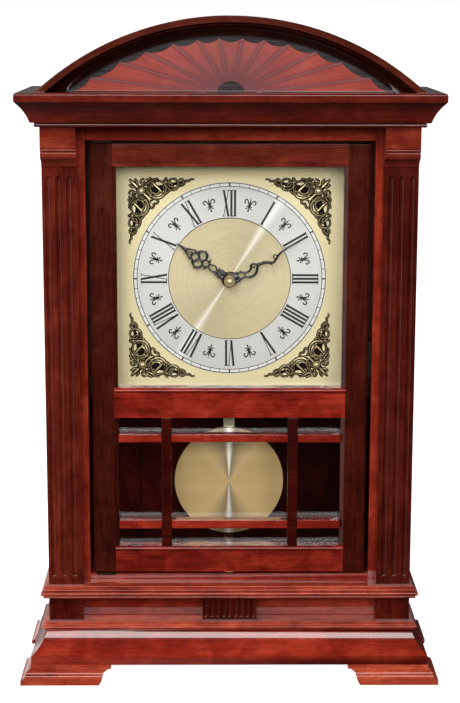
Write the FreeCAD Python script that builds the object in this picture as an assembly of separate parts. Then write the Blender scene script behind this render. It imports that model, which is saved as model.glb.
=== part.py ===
"""Mantel clock: arched pediment, fluted pilasters, glazed door, dial, and a pendulum below it.

Millimetres, +Z up, front towards -Y. Everything is drawn with the faces of the pilasters on
y = 0 and the floor on z = 0; save() then shifts it so that the origin is on the floor, below the
middle of the whole. Each piece is a solid of its own, and alike fasteners share one file.
"""

import FreeCAD, Part
import math
import os

V = FreeCAD.Vector

# ---- driving dimensions -------------------------------------------------------------------

# Depths behind the faces of the pilasters
BACK = 82.0
CORNICE_OUT = 23.6
FOOT_OUT = 18.8
DEPTH_CENTRE = (BACK + FOOT_OUT - CORNICE_OUT) / 2
FRIEZE_FRONT = 12.0
FRAME_FRONT = 14.0
FRAME_BACK = 24.0
DOOR_FRONT = 10.5
DOOR_BACK = 24.5
GLASS_FRONT = 19.5
GLASS_BACK = 21.5
DIAL_FRONT = 41.0
BOARD_FRONT = 42.0
BOARD_BACK = 48.0
PANEL_FRONT = 73.0
PANEL_BACK = 78.0

# Heights above the floor
FOOT_TOP = 12.0
BASE_TOP = 34.0
BASE_CAP_TOP = 39.2
PLINTH_TOP = 56.0
SILL = 64.5
CAPITAL_BOTTOM = 347.3
CARCASS_TOP = 373.0
LIP_TOP = 375.8
CORNICE_TOP = 395.0

# The carcass
HALF_WIDTH = 122.0
SIDE_THICK = 10.0
INSIDE = HALF_WIDTH - SIDE_THICK
PILASTER_INNER = 99.1
FLUTE_MID = 111.2
FLUTE_SPACING = 6.9
CENTRE_BLOCK_HALF = 18.2

# The pediment, an arch struck from a centre on the clock's middle line
ARCH_CENTRE = 258.3
ARCH_OUTER = 184.7
ARCH_FILLET = 180.6
ARCH_INNER = 172.5
FAN_FOOT = 393.0
FAN_HUB = 9.0
FAN_TIPS = (7.4, 21.1, 36.7, 54.3, 70.9, 89.3)
FAN_END = 103.5
FAN_MARGIN = 1.8
FAN_DIP = 2.6

# The opening in the face frame and the door in it
OPENING_HALF = 94.8
OPENING_BOTTOM = 68.0
OPENING_TOP = 362.7
DOOR_HALF = 91.8
DOOR_BOTTOM = 70.6
DOOR_TOP = 360.8
STILE_FLAT = 77.2
WINDOW_HALF = 74.6
BOTTOM_RAIL_TOP = 88.6
MID_RAIL_BOTTOM = 178.1
MID_RAIL_TOP = 198.5
TOP_RAIL_BOTTOM = 346.1
MUNTIN_X = (39.1, 45.8)
MUNTIN_LOW = (101.0, 106.5)
MUNTIN_HIGH = (161.2, 166.1)
HINGE = (-DOOR_HALF + 4.0, DOOR_FRONT + 4.0)

# The dial and hands
DIAL_MID = 267.7
DIAL_HALF = 79.0
RING_OUTER = 65.4
RING_INNER = 41.2
SPANDREL_CIRCLE = 68.0
SPANDREL_FAR = 72.0
SPANDREL_LEG = 26.0
HOUR_ANGLE = 305.0
MINUTE_ANGLE = 60.0

# The quartz movement and the motion work behind the dial
MOVEMENT_HALF = 50.0
MOVEMENT_BOTTOM = 226.0
MOVEMENT_TOP = 312.0
MOVEMENT_SPLIT = 60.0
MOVEMENT_BACK = 66.0
SHELL = 1.6
ARBOR = 2.0
PIPE = 3.1
BUSH = 4.0
FIT = 0.05
GEAR_CENTRES = 12.5
PRESSURE = math.radians(28.0)
BACKLASH = 0.12
KNOB_ARBOR = 1.0
SWITCH_X = -15.0
CONTROL_Z = 296.0
VOLUME_X = 15.0

# The pendulum
PIVOT_Z = 216.0
ROD_FRONT = 57.4
ROD_BACK = 58.6
BOB_Z = 122.9
BOB_RADIUS = 37.9
BOB_THICK = 6.0
BOB_DOME = 285.0

# The speaker and the access door at the back
SPEAKER_Z = 342.0
ACCESS_HALF = 75.0
ACCESS_BOTTOM = 92.0
ACCESS_TOP = 312.0
ACCESS_GAP = 1.5
ACCESS_DOOR = (73.6, 77.6)
ACCESS_HINGE = (-70.0, 75.6)

SOLIDS = {}


# ---- small tools --------------------------------------------------------------------------

def save(name, *solids):
    """Writes the solids of one node, shifted to the clock's own origin."""
    group = Part.makeCompound(list(solids)) if len(solids) > 1 else solids[0].copy()
    group.translate(V(0, -DEPTH_CENTRE, 0))
    SOLIDS[name] = group
    group.exportStep("parts/" + name + ".step")


def box(x0, x1, y0, y1, z0, z1):
    return Part.makeBox(x1 - x0, y1 - y0, z1 - z0, V(x0, y0, z0))


def rod(radius, start, end):
    """Cylinder between two points."""
    a, b = V(*start), V(*end)
    return Part.makeCylinder(radius, (b - a).Length, a, b - a)


def mirrored(shape):
    """The same piece on the other side of the clock."""
    return shape.mirror(V(0, 0, 0), V(1, 0, 0))


def behind(shape):
    """The same piece at the back of the clock, turned to face the other way."""
    return shape.mirror(V(0, BACK / 2, 0), V(0, 1, 0))


def face(place, start, *moves):
    """Face inside a closed line in the plane that place() gives.

    A move is (a, b), a straight line, or (a, b, s), an arc whose middle stands s to the
    left of the straight line; a negative s bows it to the right.
    """
    edges = []
    here = start
    for move in moves + (start,):
        end = move[:2]
        if len(move) == 3:
            da, db = end[0] - here[0], end[1] - here[1]
            share = move[2] / math.hypot(da, db)
            via = ((here[0] + end[0]) / 2 - db * share, (here[1] + end[1]) / 2 + da * share)
            edges.append(Part.Arc(place(*here), place(*via), place(*end)).toShape())
        else:
            edges.append(Part.LineSegment(place(*here), place(*end)).toShape())
        here = end
    return Part.Face(Part.Wire(edges))


def prism_x(x0, x1, start, *moves):
    """Outline in (y, z), run from x0 to x1."""
    return face(lambda y, z: V(x0, y, z), start, *moves).extrude(V(x1 - x0, 0, 0))


def prism_y(y0, y1, start, *moves):
    """Outline in (x, z), run from y0 to y1."""
    return face(lambda x, z: V(x, y0, z), start, *moves).extrude(V(0, y1 - y0, 0))


def prism_z(z0, z1, start, *moves):
    """Outline in (x, y), run from z0 to z1."""
    return face(lambda x, y: V(x, y, z0), start, *moves).extrude(V(0, 0, z1 - z0))


def turned(axis_z, start, *moves):
    """Outline in (radius, y), turned about the line along y at height axis_z."""
    section = face(lambda r, y: V(r, y, axis_z), start, *moves)
    return section.revolve(V(0, 0, axis_z), V(0, 1, 0), 360)


def above(shape, z):
    """The part of a shape above height z."""
    return shape.common(box(-300, 300, -300, 300, z, z + 600))


def section_runs(section, half, front, reach_front, reach_side, far=200.0):
    """One edge section run along the front, the right and the left of a rectangle.

    The section is in (d, z): d is the distance out from the rectangle's edge. It ends on
    its top, and is closed at d = -reach.
    """
    low, high = section[0][1], section[-1][1]
    closed_front = tuple(section) + ((-reach_front, high), (-reach_front, low))
    closed_side = tuple(section) + ((-reach_side, high), (-reach_side, low))
    run_x, run_y = V(2 * far, 0, 0), V(0, 2 * far, 0)
    return (
        face(lambda d, z: V(-far, front - d, z), *closed_front).extrude(run_x),
        face(lambda d, z: V(half + d, -far, z), *closed_side).extrude(run_y),
        face(lambda d, z: V(-half - d, -far, z), *closed_side).extrude(run_y),
    )


def moulded_board(section, half, front):
    """Board out to the clock's back, with the section worked on its front and sides."""
    runs = section_runs(section, half, front, BACK - front, 2 * half + 60)
    return runs[0].common(runs[1]).common(runs[2])


def moulded_all_round(section, half):
    """Board with the section worked on all four edges, flush with the pilasters' faces."""
    runs = section_runs(section, half, 0, BACK + 60, 2 * half + 60)
    return runs[0].common(behind(runs[0])).common(runs[1]).common(runs[2])


def mitred_moulding(section, half, front, inner, side_back):
    """Front, right and left lengths of a moulding, mitred at the two front corners.

    The side lengths end in the plan's points given from their outer to their inner edge.
    """
    out = 60.0
    runs = section_runs(section, half, front, inner, inner)
    z0, z1 = section[0][1] - 1, section[-1][1] + 1
    front_plan = prism_z(z0, z1, (-half - out, front - out), (half + out, front - out),
                         (half - inner, front + inner), (inner - half, front + inner))
    side_plan = prism_z(z0, z1, (half + out, front - out), (half + out, side_back[0]),
                        (half - inner, side_back[1]), (half - inner, front + inner))
    return (runs[0].common(front_plan), runs[1].common(side_plan),
            runs[2].common(mirrored(side_plan)))


def flute(x, radius, set_out, z0, z1, round_top=True):
    """Cutter for a round-ended flute in a face on y = 0."""
    cutter = rod(radius, (x, -set_out, z0), (x, -set_out, z1))
    cutter = cutter.fuse(Part.makeSphere(radius, V(x, -set_out, z0)))
    if round_top:
        cutter = cutter.fuse(Part.makeSphere(radius, V(x, -set_out, z1)))
    return cutter


def cut_all(shape, cutters):
    for cutter in cutters:
        shape = shape.cut(cutter)
    return shape


# ---- base ---------------------------------------------------------------------------------

def bracket_feet():
    """Four moulded feet, cut to an ogee at their inner ends."""
    section = ((FOOT_OUT, 0), (FOOT_OUT, 3.4), (15.6, 5.8, 0.7), (12.8, 9.2, -0.9), (12.8, 9.9),
               (12.4, 10.3), (12.4, FOOT_TOP))
    slab = moulded_all_round(section, HALF_WIDTH)
    outer, arm = 150.0, 22.0
    front_end, side_end = 80.2, 29.5

    def ogee(inner_top):
        """Elevation of one arm, from its ogee end outwards, as moves from the top."""
        return ((inner_top, FOOT_TOP), (inner_top, 9.4), (inner_top + 5.0, 7.2, 0.7),
                (inner_top + 8.0, 0, -0.6), (outer, 0), (outer, FOOT_TOP))

    front_arm = prism_y(-FOOT_OUT - 1, arm - FOOT_OUT, *ogee(front_end))
    side_line = [(-a,) + tuple(rest) for a, *rest in ogee(-side_end)]
    side_arm = prism_x(HALF_WIDTH - arm, outer, *[flip_bow(m) for m in side_line])
    foot = slab.common(front_arm.fuse(side_arm)).removeSplitter()
    save("bracket_feet", foot, mirrored(foot), behind(foot), behind(mirrored(foot)))


def flip_bow(move):
    """A move of a mirrored outline: its arc bows the other way."""
    return move[:2] + tuple(-s for s in move[2:])


def base():
    section = ((11.8, FOOT_TOP), (11.8, 18.0), (11.2, 18.4, -0.1), (1.7, 33.0, 1.3),
               (1.7, BASE_TOP))
    inner, out = 12.0, 60.0
    front, right, left = mitred_moulding(section, HALF_WIDTH, 0, inner,
                                         (BACK + out, BACK - inner))
    save("base_mouldings", front, right, left, behind(front))
    section = ((3.5, BASE_TOP), (3.5, 35.2), (4.3, 35.3), (4.3, 36.9, -0.8), (2.8, 37.0),
               (2.8, BASE_CAP_TOP - 0.3), (2.5, BASE_CAP_TOP, -0.1))
    save("base_cap_board", moulded_all_round(section, HALF_WIDTH))


def plinth():
    z0, z1 = BASE_CAP_TOP, PLINTH_TOP
    front = box(-INSIDE, INSIDE, FRIEZE_FRONT, FRAME_BACK, z0, z1)
    side = box(INSIDE, HALF_WIDTH, FRIEZE_FRONT, BACK, z0, z1)
    rail = box(-INSIDE, INSIDE, BACK - SIDE_THICK, BACK, z0, z1)
    save("plinth_boards", front, side, mirrored(side), rail)
    corner = box(PILASTER_INNER, HALF_WIDTH, 0, FRIEZE_FRONT, z0, z1)
    centre = box(-CENTRE_BLOCK_HALF, CENTRE_BLOCK_HALF, 0, FRIEZE_FRONT, z0, z1)
    flutes = 9
    pitch = 2 * CENTRE_BLOCK_HALF / flutes
    cutters = [flute((i - (flutes - 1) / 2) * pitch, 1.45, 0.25, z0 + 3.2, z1 + 1, False)
               for i in range(flutes)]
    save("plinth_blocks", corner, mirrored(corner), cut_all(centre, cutters))
    section = ((2.2, PLINTH_TOP), (3.0, PLINTH_TOP), (3.0, 58.0, -0.9), (3.9, 58.2),
               (3.9, 60.9, -1.5), (3.2, 61.1), (3.2, 62.6, -0.8), (2.4, 62.8),
               (2.4, SILL - 0.6), (1.8, SILL, -0.2))
    save("waist_board", moulded_board(section, HALF_WIDTH, 0))


# ---- carcass ------------------------------------------------------------------------------

def carcass():
    side = box(INSIDE, HALF_WIDTH, FRAME_FRONT, BACK, SILL, CARCASS_TOP)
    save("side_panel_right", side)
    save("side_panel_left", mirrored(side))
    y0, y1 = FRAME_FRONT, FRAME_BACK
    stile = box(OPENING_HALF, INSIDE, y0, y1, SILL, CARCASS_TOP)
    head = box(-OPENING_HALF, OPENING_HALF, y0, y1, OPENING_TOP, CARCASS_TOP)
    sill = box(-OPENING_HALF, OPENING_HALF, y0, y1, SILL, OPENING_BOTTOM)
    save("face_frame", stile, mirrored(stile), head, sill)


def pilasters():
    body = box(PILASTER_INNER, HALF_WIDTH, 0, FRAME_FRONT, SILL, CAPITAL_BOTTOM)
    cutters = [flute(FLUTE_MID + i * FLUTE_SPACING, 1.9, 0.4, 71.4, 338.9) for i in (-1, 0, 1)]
    right = cut_all(body, cutters)
    save("pilaster_right", right)
    save("pilaster_left", mirrored(right))
    capital = prism_x(PILASTER_INNER, HALF_WIDTH,
                      (FRAME_FRONT, CAPITAL_BOTTOM), (-1.2, CAPITAL_BOTTOM), (-1.2, 348.0),
                      (-4.0, 350.8, -0.8), (-4.0, 351.3), (-8.2, 356.3, 1.5), (-7.6, 356.6),
                      (-7.6, 357.3), (-8.4, 357.4), (-8.4, 358.9, 0.75), (-9.0, 359.3),
                      (-9.0, CARCASS_TOP), (FRAME_FRONT, CARCASS_TOP))
    save("capitals", capital, mirrored(capital))


def cornice():
    """Thick top board with a thin lip, and the cove moulding mitred round it."""
    half, front, inner = HALF_WIDTH, -9.0, 8.0
    lip = moulded_board(((2.4, CARCASS_TOP), (2.4, LIP_TOP, -0.9)), half, front)
    core = box(inner - half, half - inner, front + inner, BACK, CARCASS_TOP, CORNICE_TOP)
    save("top_board", lip.fuse(core).removeSplitter())
    section = ((4.9, LIP_TOP), (5.9, 376.8, -0.3), (13.7, 388.6, 0.9), (14.6, 389.4, 0.1),
               (14.6, 393.6), (13.2, CORNICE_TOP, -0.4))
    save("cornice_mouldings", *mitred_moulding(section, half, front, inner, (BACK, BACK)))


# ---- pediment -----------------------------------------------------------------------------

def arc_point(radius, x):
    """Height of the arch of that radius at x."""
    return ARCH_CENTRE + math.sqrt(radius ** 2 - x ** 2)


def pediment():
    arch = turned(ARCH_CENTRE, (ARCH_INNER, 6), (ARCH_INNER, -6.0), (ARCH_FILLET, -13.2, 2.2),
                  (ARCH_FILLET, -14.0), (ARCH_OUTER - 1, -14.0), (ARCH_OUTER, -13.0, 0.3),
                  (ARCH_OUTER, 6))
    save("arch_moulding", above(arch, CORNICE_TOP))
    panel = rod(ARCH_INNER, (0, -4, ARCH_CENTRE), (0, 2, ARCH_CENTRE))
    save("tympanum_panel", above(panel, CORNICE_TOP))
    cover_outer, cover_inner = 183.5, 179.5
    cover = turned(ARCH_CENTRE, (cover_inner, 6), (cover_outer, 6), (cover_outer, BACK),
                   (cover_inner, BACK))
    save("arched_cover", above(cover, CORNICE_TOP))
    rear = rod(cover_inner, (0, 72, ARCH_CENTRE), (0, PANEL_BACK, ARCH_CENTRE))
    save("pediment_back", above(rear, CORNICE_TOP))


def fan():
    """Veneers that radiate from a half-round hub, each with a hollow outer end."""
    front, panel = -4.6, -4.0
    tips = [(x, arc_point(ARCH_INNER - FAN_MARGIN, x)) for x in FAN_TIPS]
    end = (FAN_END, CORNICE_TOP + 0.4)
    hub = rod(FAN_HUB, (0, -6, FAN_FOOT), (0, 0, FAN_FOOT))

    def blade(a, b):
        wedge = prism_y(front, panel, (0, FAN_FOOT), a, b + (-FAN_DIP,))
        return above(wedge.cut(hub), CORNICE_TOP + 0.4)

    centre = blade((-tips[0][0], tips[0][1]), tips[0])
    right = [blade(a, b) for a, b in zip(tips, tips[1:] + [end])]
    save("fan_blades", centre, *right, *[mirrored(b) for b in right])
    button = rod(FAN_HUB - 0.1, (0, -5.0, FAN_FOOT), (0, panel, FAN_FOOT))
    save("fan_hub", above(button, CORNICE_TOP + 0.1))


# ---- front door ---------------------------------------------------------------------------

def beaded_rail(z0, z1):
    """Rail between the stiles with a rounded bead along its upper front edge."""
    bead = 3.4
    return prism_x(-STILE_FLAT, STILE_FLAT, (DOOR_BACK, z0), (DOOR_FRONT, z0),
                   (DOOR_FRONT, z1 - bead), (DOOR_FRONT + 0.7, z1 - bead),
                   (DOOR_FRONT + 0.9, z1 - 0.2, 1.5), (DOOR_FRONT + 2.2, z1),
                   (DOOR_BACK, z1))


def glass_rebate():
    """Room for the pane and the beads that hold it, cut from the back of the door."""
    return box(-80.5, 80.5, GLASS_FRONT, DOOR_BACK + 1, 83.0, 351.5)


def front_door():
    rebate = glass_rebate()
    mortises = hinge_leaves(DOOR_BOTTOM, 1.4).fuse(hinge_leaves(DOOR_TOP - 1.4, 1.4))
    pin_room = rod(1.8, HINGE + (DOOR_BOTTOM,), HINGE + (80.0,))
    pin_room = pin_room.fuse(rod(1.8, HINGE + (350.0,), HINGE + (DOOR_TOP,)))
    stile = prism_z(DOOR_BOTTOM, DOOR_TOP, (WINDOW_HALF, DOOR_BACK), (WINDOW_HALF, 13.0),
                    (STILE_FLAT, DOOR_FRONT + 0.6), (STILE_FLAT, DOOR_FRONT),
                    (DOOR_HALF - 1.2, DOOR_FRONT), (DOOR_HALF, DOOR_FRONT + 1.2, 0.35),
                    (DOOR_HALF, DOOR_BACK))
    for z0, z1 in ((DOOR_BOTTOM, BOTTOM_RAIL_TOP), (MID_RAIL_BOTTOM, MID_RAIL_TOP),
                   (TOP_RAIL_BOTTOM, DOOR_TOP)):
        stile = stile.cut(box(0, STILE_FLAT, 0, 40, z0, z1))
    stile = stile.cut(rebate)
    save("door_stile_right", stile)
    save("door_stile_left", cut_all(mirrored(stile), (mortises, pin_room)))
    save("door_bottom_rail", beaded_rail(DOOR_BOTTOM, BOTTOM_RAIL_TOP).cut(rebate))
    save("door_mid_rail", beaded_rail(MID_RAIL_BOTTOM, MID_RAIL_TOP).cut(rebate))
    top = prism_x(-STILE_FLAT, STILE_FLAT, (DOOR_BACK, TOP_RAIL_BOTTOM),
                  (DOOR_FRONT, TOP_RAIL_BOTTOM), (DOOR_FRONT, DOOR_TOP - 1.2),
                  (DOOR_FRONT + 1.2, DOOR_TOP, -0.35), (DOOR_BACK, DOOR_TOP))
    save("door_top_rail", top.cut(rebate))
    save("door_hinge_leaves", *[leaf.cut(rod(1.5 + FIT, HINGE + (0,), HINGE + (400,)))
                                for leaf in (hinge_leaves(DOOR_BOTTOM, 1.4),
                                             hinge_leaves(DOOR_TOP - 1.4, 1.4))])
    glazing()
    save("door_strike_plate", box(82, 90, DOOR_BACK, DOOR_BACK + 0.8, 205, 225))


def hinge_leaves(z, thick):
    """Outline of one brass leaf of the pin hinges, at height z."""
    x, y = HINGE
    round_end = rod(3.0, (x, y, z), (x, y, z + thick))
    return round_end.fuse(box(x, x + 10.5, y - 3, y + 3, z, z + thick)).removeSplitter()


def glazing():
    """Glass, its retaining beads, and the glazing bars, halved together where they cross."""
    save("door_glass", box(-80, 80, GLASS_FRONT, GLASS_BACK, 83.5, 351.0))
    y0, y1 = GLASS_BACK, DOOR_BACK - 0.3
    side = box(75.5, 80.3, y0, y1, 83.3, 351.3)
    low = box(-75.5, 75.5, y0, y1, 83.3, 88.0)
    high = box(-75.5, 75.5, y0, y1, 346.6, 351.3)
    save("glazing_beads", side, mirrored(side), low, high)
    half_depth = (DOOR_FRONT + GLASS_FRONT) / 2
    uprights = [box(*MUNTIN_X, DOOR_FRONT, GLASS_FRONT, BOTTOM_RAIL_TOP, MID_RAIL_BOTTOM)]
    uprights.append(mirrored(uprights[0]))
    bars = [box(-WINDOW_HALF, WINDOW_HALF, DOOR_FRONT + 0.4, GLASS_FRONT, *z)
            for z in (MUNTIN_LOW, MUNTIN_HIGH)]
    in_front = box(-100, 100, 0, half_depth, 0, 400)
    behind = box(-100, 100, half_depth, 40, 0, 400)
    halved_uprights = [cut_all(u, [b.common(behind) for b in bars]) for u in uprights]
    halved_bars = [cut_all(b, [u.common(in_front) for u in uprights]) for b in bars]
    save("door_muntins", *halved_uprights, *halved_bars)


def door_hardware():
    """The hinge leaves on the face frame, with their pins, and the magnetic catch."""
    low = hinge_leaves(OPENING_BOTTOM, 1.2).fuse(rod(1.5, HINGE + (69.0,), HINGE + (79.0,)))
    high = hinge_leaves(OPENING_TOP - 1.2, 1.2).fuse(rod(1.5, HINGE + (351.5,), HINGE + (362.0,)))
    save("frame_hinge_leaves", low, high)
    magnet = box(96, 106, FRAME_BACK, 36, 203, 227).fuse(box(83, 96, DOOR_BACK + 1.4, 36, 203, 227))
    save("magnetic_catch", magnet.removeSplitter())


# ---- dial and hands -----------------------------------------------------------------------

def at_dial(radius, y0, y1):
    """Disc on the dial's middle."""
    return rod(radius, (0, y0, DIAL_MID), (0, y1, DIAL_MID))


def dial():
    hole = at_dial(BUSH + 0.1, 30, 60)
    board = box(-INSIDE, INSIDE, BOARD_FRONT, BOARD_BACK, 186, 370)
    save("dial_board", board.cut(hole))
    plate = box(-DIAL_HALF, DIAL_HALF, DIAL_FRONT, BOARD_FRONT,
                DIAL_MID - DIAL_HALF, DIAL_MID + DIAL_HALF)
    save("dial_plate", plate.cut(hole))
    ring = at_dial(RING_OUTER, DIAL_FRONT - 0.5, DIAL_FRONT)
    save("chapter_ring", ring.cut(at_dial(RING_INNER, 30, 60)))
    nut = at_dial(5.6, 38.4, DIAL_FRONT).cut(at_dial(BUSH, 30, 60))
    save("fixing_nut", nut)
    spandrels()


def quarter(shape):
    """A piece and its three turns about the dial's middle."""
    turns = [shape.copy() for _ in range(4)]
    for i, turn in enumerate(turns):
        turn.rotate(V(0, 0, DIAL_MID), V(0, 1, 0), 90 * i)
    return turns


def spandrels():
    """Pierced corner ornaments outside the chapter ring, each held by one round screw."""
    front, height = DIAL_FRONT - 0.8, 59.5
    corner = box(SPANDREL_LEG, SPANDREL_FAR, front, DIAL_FRONT,
                 DIAL_MID + SPANDREL_LEG, DIAL_MID + SPANDREL_FAR)
    corner = corner.cut(at_dial(SPANDREL_CIRCLE, 30, 60))
    for leg in range(4):
        near, far = 33.0 + 7.5 * leg, 67.0 - 0.4 * leg
        size = 1.5 + 0.35 * leg
        for x, z in ((near, far), (far, near)):
            corner = corner.cut(rod(size, (x, 30, DIAL_MID + z), (x, 60, DIAL_MID + z)))
    screw_hole = rod(1.2, (height, 30, DIAL_MID + height), (height, 60, DIAL_MID + height))
    save("spandrels", *quarter(corner.cut(screw_hole)))
    head = Part.makeSphere(3.0, V(height, front + 1.6, DIAL_MID + height))
    head = head.common(box(0, 100, 0, front, DIAL_MID, DIAL_MID + 100))
    shank = rod(1.2, (height, front, DIAL_MID + height), (height, DIAL_FRONT, DIAL_MID + height))
    save("spandrel_screws", *quarter(head.fuse(shank)))


def hand(length, hub, hole, y0, y1, loops, tip_from, angle):
    """Flat pierced hand, made upright and turned clockwise to its angle.

    loops are (x, height, radius) of the rings along it.
    """
    bar, wall = 1.5, 1.1
    shape = at_dial(hub, y0, y1)
    shape = shape.fuse(box(-bar / 2, bar / 2, y0, y1, DIAL_MID, DIAL_MID + tip_from))
    shape = shape.fuse(prism_y(y0, y1, (-2.2, DIAL_MID + tip_from), (0, DIAL_MID + length, 0.8),
                               (2.2, DIAL_MID + tip_from, 0.8)))
    for x, height, radius in loops:
        shape = shape.fuse(rod(radius, (x, y0, DIAL_MID + height), (x, y1, DIAL_MID + height)))
    for x, height, radius in loops:
        inner = radius - wall
        shape = shape.cut(rod(inner, (x, y0, DIAL_MID + height), (x, y1, DIAL_MID + height)))
    shape = shape.cut(at_dial(hole, 20, 60)).removeSplitter()
    shape.rotate(V(0, 0, DIAL_MID), V(0, 1, 0), angle)
    return shape


def hands():
    loops = ((-2.6, 13, 3.0), (2.6, 13, 3.0), (-3.4, 22, 3.6), (3.4, 22, 3.6), (0, 28.5, 3.4))
    save("hour_hand", hand(43, 4.6, PIPE, 34.0, 34.8, loops, 31, HOUR_ANGLE))
    loops = ((-2.2, 11, 2.6), (2.2, 11, 2.6), (-2.4, 19, 2.8), (2.4, 19, 2.8), (0, 40, 2.6))
    save("minute_hand", hand(60, 4.2, ARBOR, 30.6, 31.4, loops, 42, MINUTE_ANGLE))
    nut = Part.makeSphere(3.8, V(0, 29.8, DIAL_MID)).common(at_dial(3.8, 26, 29.8))
    nut = nut.fuse(at_dial(3.8, 29.8, 30.6)).cut(at_dial(ARBOR, 28.5, 31))
    save("cap_nut", nut.removeSplitter())


# ---- movement -----------------------------------------------------------------------------

def gear(teeth, module, y0, y1, x, turn):
    """Involute spur gear on an axis along y; a tooth points along +x when turn is 0."""
    pitch = teeth * module / 2
    base, tip, root = pitch * math.cos(PRESSURE), pitch + 0.8 * module, pitch - 1.1 * module
    low = max(base, root)
    steps = 4
    half_pitch = math.pi / 2 / teeth - BACKLASH / 2 / pitch

    def involute(angle):
        return math.tan(angle) - angle

    flank = []
    for i in range(steps + 1):
        radius = low + (tip - low) * i / steps
        half = half_pitch + involute(PRESSURE) - involute(math.acos(base / radius))
        flank.append((radius, half))
    flank.insert(0, (root, flank[0][1]))
    points = []
    for tooth in range(teeth):
        middle = turn + 2 * math.pi * tooth / teeth
        points += [(r, middle - half) for r, half in flank]
        points += [(r, middle + half) for r, half in reversed(flank)]
    corners = [V(x + r * math.cos(a), y0, DIAL_MID + r * math.sin(a)) for r, a in points]
    outline = Part.makePolygon(corners + corners[:1])
    return Part.Face(outline).extrude(V(0, y1 - y0, 0))


def motion_work():
    """Arbor of the minute hand, the wheel it drives, and the hour wheel on its pipe."""
    fine, coarse = 0.5, GEAR_CENTRES / 24
    pinion = gear(12, coarse, 55.2, 57.8, 0, 0)
    arbor = at_dial(ARBOR, 28.5, 65.6).fuse(pinion)
    save("centre_arbor", arbor.removeSplitter())
    x = GEAR_CENTRES
    wheel = gear(36, coarse, 55.6, 57.4, x, math.pi / 36)
    small = gear(10, fine, 50.4, 55.6, x, 0)
    staff = rod(KNOB_ARBOR, (x, 48.3, DIAL_MID), (x, 70.4, DIAL_MID))
    save("motion_wheel", wheel.fuse(small).fuse(staff).removeSplitter())
    knob = rod(7.0, (x, 66.8, DIAL_MID), (x, 71.6, DIAL_MID))
    for i in range(18):
        a = 2 * math.pi * i / 18
        place = (x + 7.2 * math.cos(a), DIAL_MID + 7.2 * math.sin(a))
        knob = knob.cut(rod(0.6, (place[0], 66, place[1]), (place[0], 72, place[1])))
    save("setting_knob", knob.cut(rod(KNOB_ARBOR, (x, 66, DIAL_MID), (x, 70.4, DIAL_MID))))
    hour = gear(40, fine, 51.0, 53.2, 0, math.pi / 40)
    pipe = at_dial(PIPE, 34.0, 53.2)
    save("hour_wheel", hour.fuse(pipe).cut(at_dial(ARBOR + FIT, 30, 60)).removeSplitter())


def movement_shells():
    h, z0, z1 = MOVEMENT_HALF, MOVEMENT_BOTTOM, MOVEMENT_TOP
    split, x = MOVEMENT_SPLIT, GEAR_CENTRES
    front = box(-h, h, BOARD_BACK, split, z0, z1)
    front = front.cut(box(SHELL - h, h - SHELL, BOARD_BACK + SHELL, split, z0 + SHELL, z1 - SHELL))
    front = front.fuse(at_dial(BUSH, 37.6, BOARD_BACK + SHELL))
    front = front.cut(at_dial(PIPE + FIT, 30, 60))
    front = front.cut(rod(KNOB_ARBOR + FIT, (x, 40, DIAL_MID), (x, 52, DIAL_MID)))
    save("movement_case", front)
    cover = box(-h, h, split, MOVEMENT_BACK, z0, z1)
    cover = cover.cut(box(SHELL - h, h - SHELL, split, MOVEMENT_BACK - SHELL,
                          z0 + SHELL, z1 - SHELL))
    cover = cover.cut(at_dial(ARBOR + FIT, 60, 70))
    cover = cover.cut(rod(KNOB_ARBOR + FIT, (x, 60, DIAL_MID), (x, 70, DIAL_MID)))
    cover = cover.cut(rod(2.0 + FIT, (VOLUME_X, 60, CONTROL_Z), (VOLUME_X, 70, CONTROL_Z)))
    slot = box(SWITCH_X - 6.3, SWITCH_X + 6.3, 60, 70, CONTROL_Z - 2, CONTROL_Z + 2)
    save("movement_cover", cover.cut(slot))


def movement_inside():
    """Circuit board, the sealed stepping motor, two cells, and the chime controls."""
    save("circuit_board", box(-28, 28, 52.0, 53.6, 283, 309.5))
    motor = box(-28, -13, 50.2, 59.0, 256, 280)
    coil = rod(3.4, (-20.5, 55, 241), (-20.5, 55, 256))
    save("motor_module", motor.fuse(coil).removeSplitter())
    cell_x, cell_y, z0 = 39.0, 57.2, 245.0
    cell = rod(7.1, (cell_x, cell_y, z0), (cell_x, cell_y, z0 + 49.2))
    cell = cell.fuse(rod(2.7, (cell_x, cell_y, z0 + 49.2), (cell_x, cell_y, z0 + 50.5)))
    save("batteries", cell, mirrored(cell))
    foot = box(SWITCH_X - 4, SWITCH_X + 4, 61.0, 64.2, CONTROL_Z - 4, CONTROL_Z + 4)
    stem = box(SWITCH_X - 2, SWITCH_X + 2, 64.2, 69.5, CONTROL_Z - 1.8, CONTROL_Z + 1.8)
    save("chime_switch", foot.fuse(stem))
    stem = rod(2.0, (VOLUME_X, 55, CONTROL_Z), (VOLUME_X, 66.8, CONTROL_Z))
    dial_knob = rod(6.0, (VOLUME_X, 66.8, CONTROL_Z), (VOLUME_X, 70.2, CONTROL_Z))
    groove = box(VOLUME_X - 0.5, VOLUME_X + 0.5, 69.4, 71, CONTROL_Z, CONTROL_Z + 7)
    save("volume_knob", dial_knob.fuse(stem).cut(groove))


def speaker():
    """Basket with its magnet, and the cone inside it, facing the slots in the back panel."""
    y_rim = PANEL_FRONT
    basket = turned(SPEAKER_Z, (0, 52), (13, 52), (13, 60), (23, 70.5), (25, 70.5), (25, y_rim),
                    (22, y_rim), (21.6, 70.6), (11.8, 61.2), (0, 61.2))
    cone = turned(SPEAKER_Z, (0, 64.6), (7, 64.6), (20.9, 71.4), (21.4, 72.2), (20.6, 72.2),
                  (6.8, 65.4), (0, 65.4))
    save("speaker", basket, cone)


# ---- pendulum -----------------------------------------------------------------------------

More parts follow.
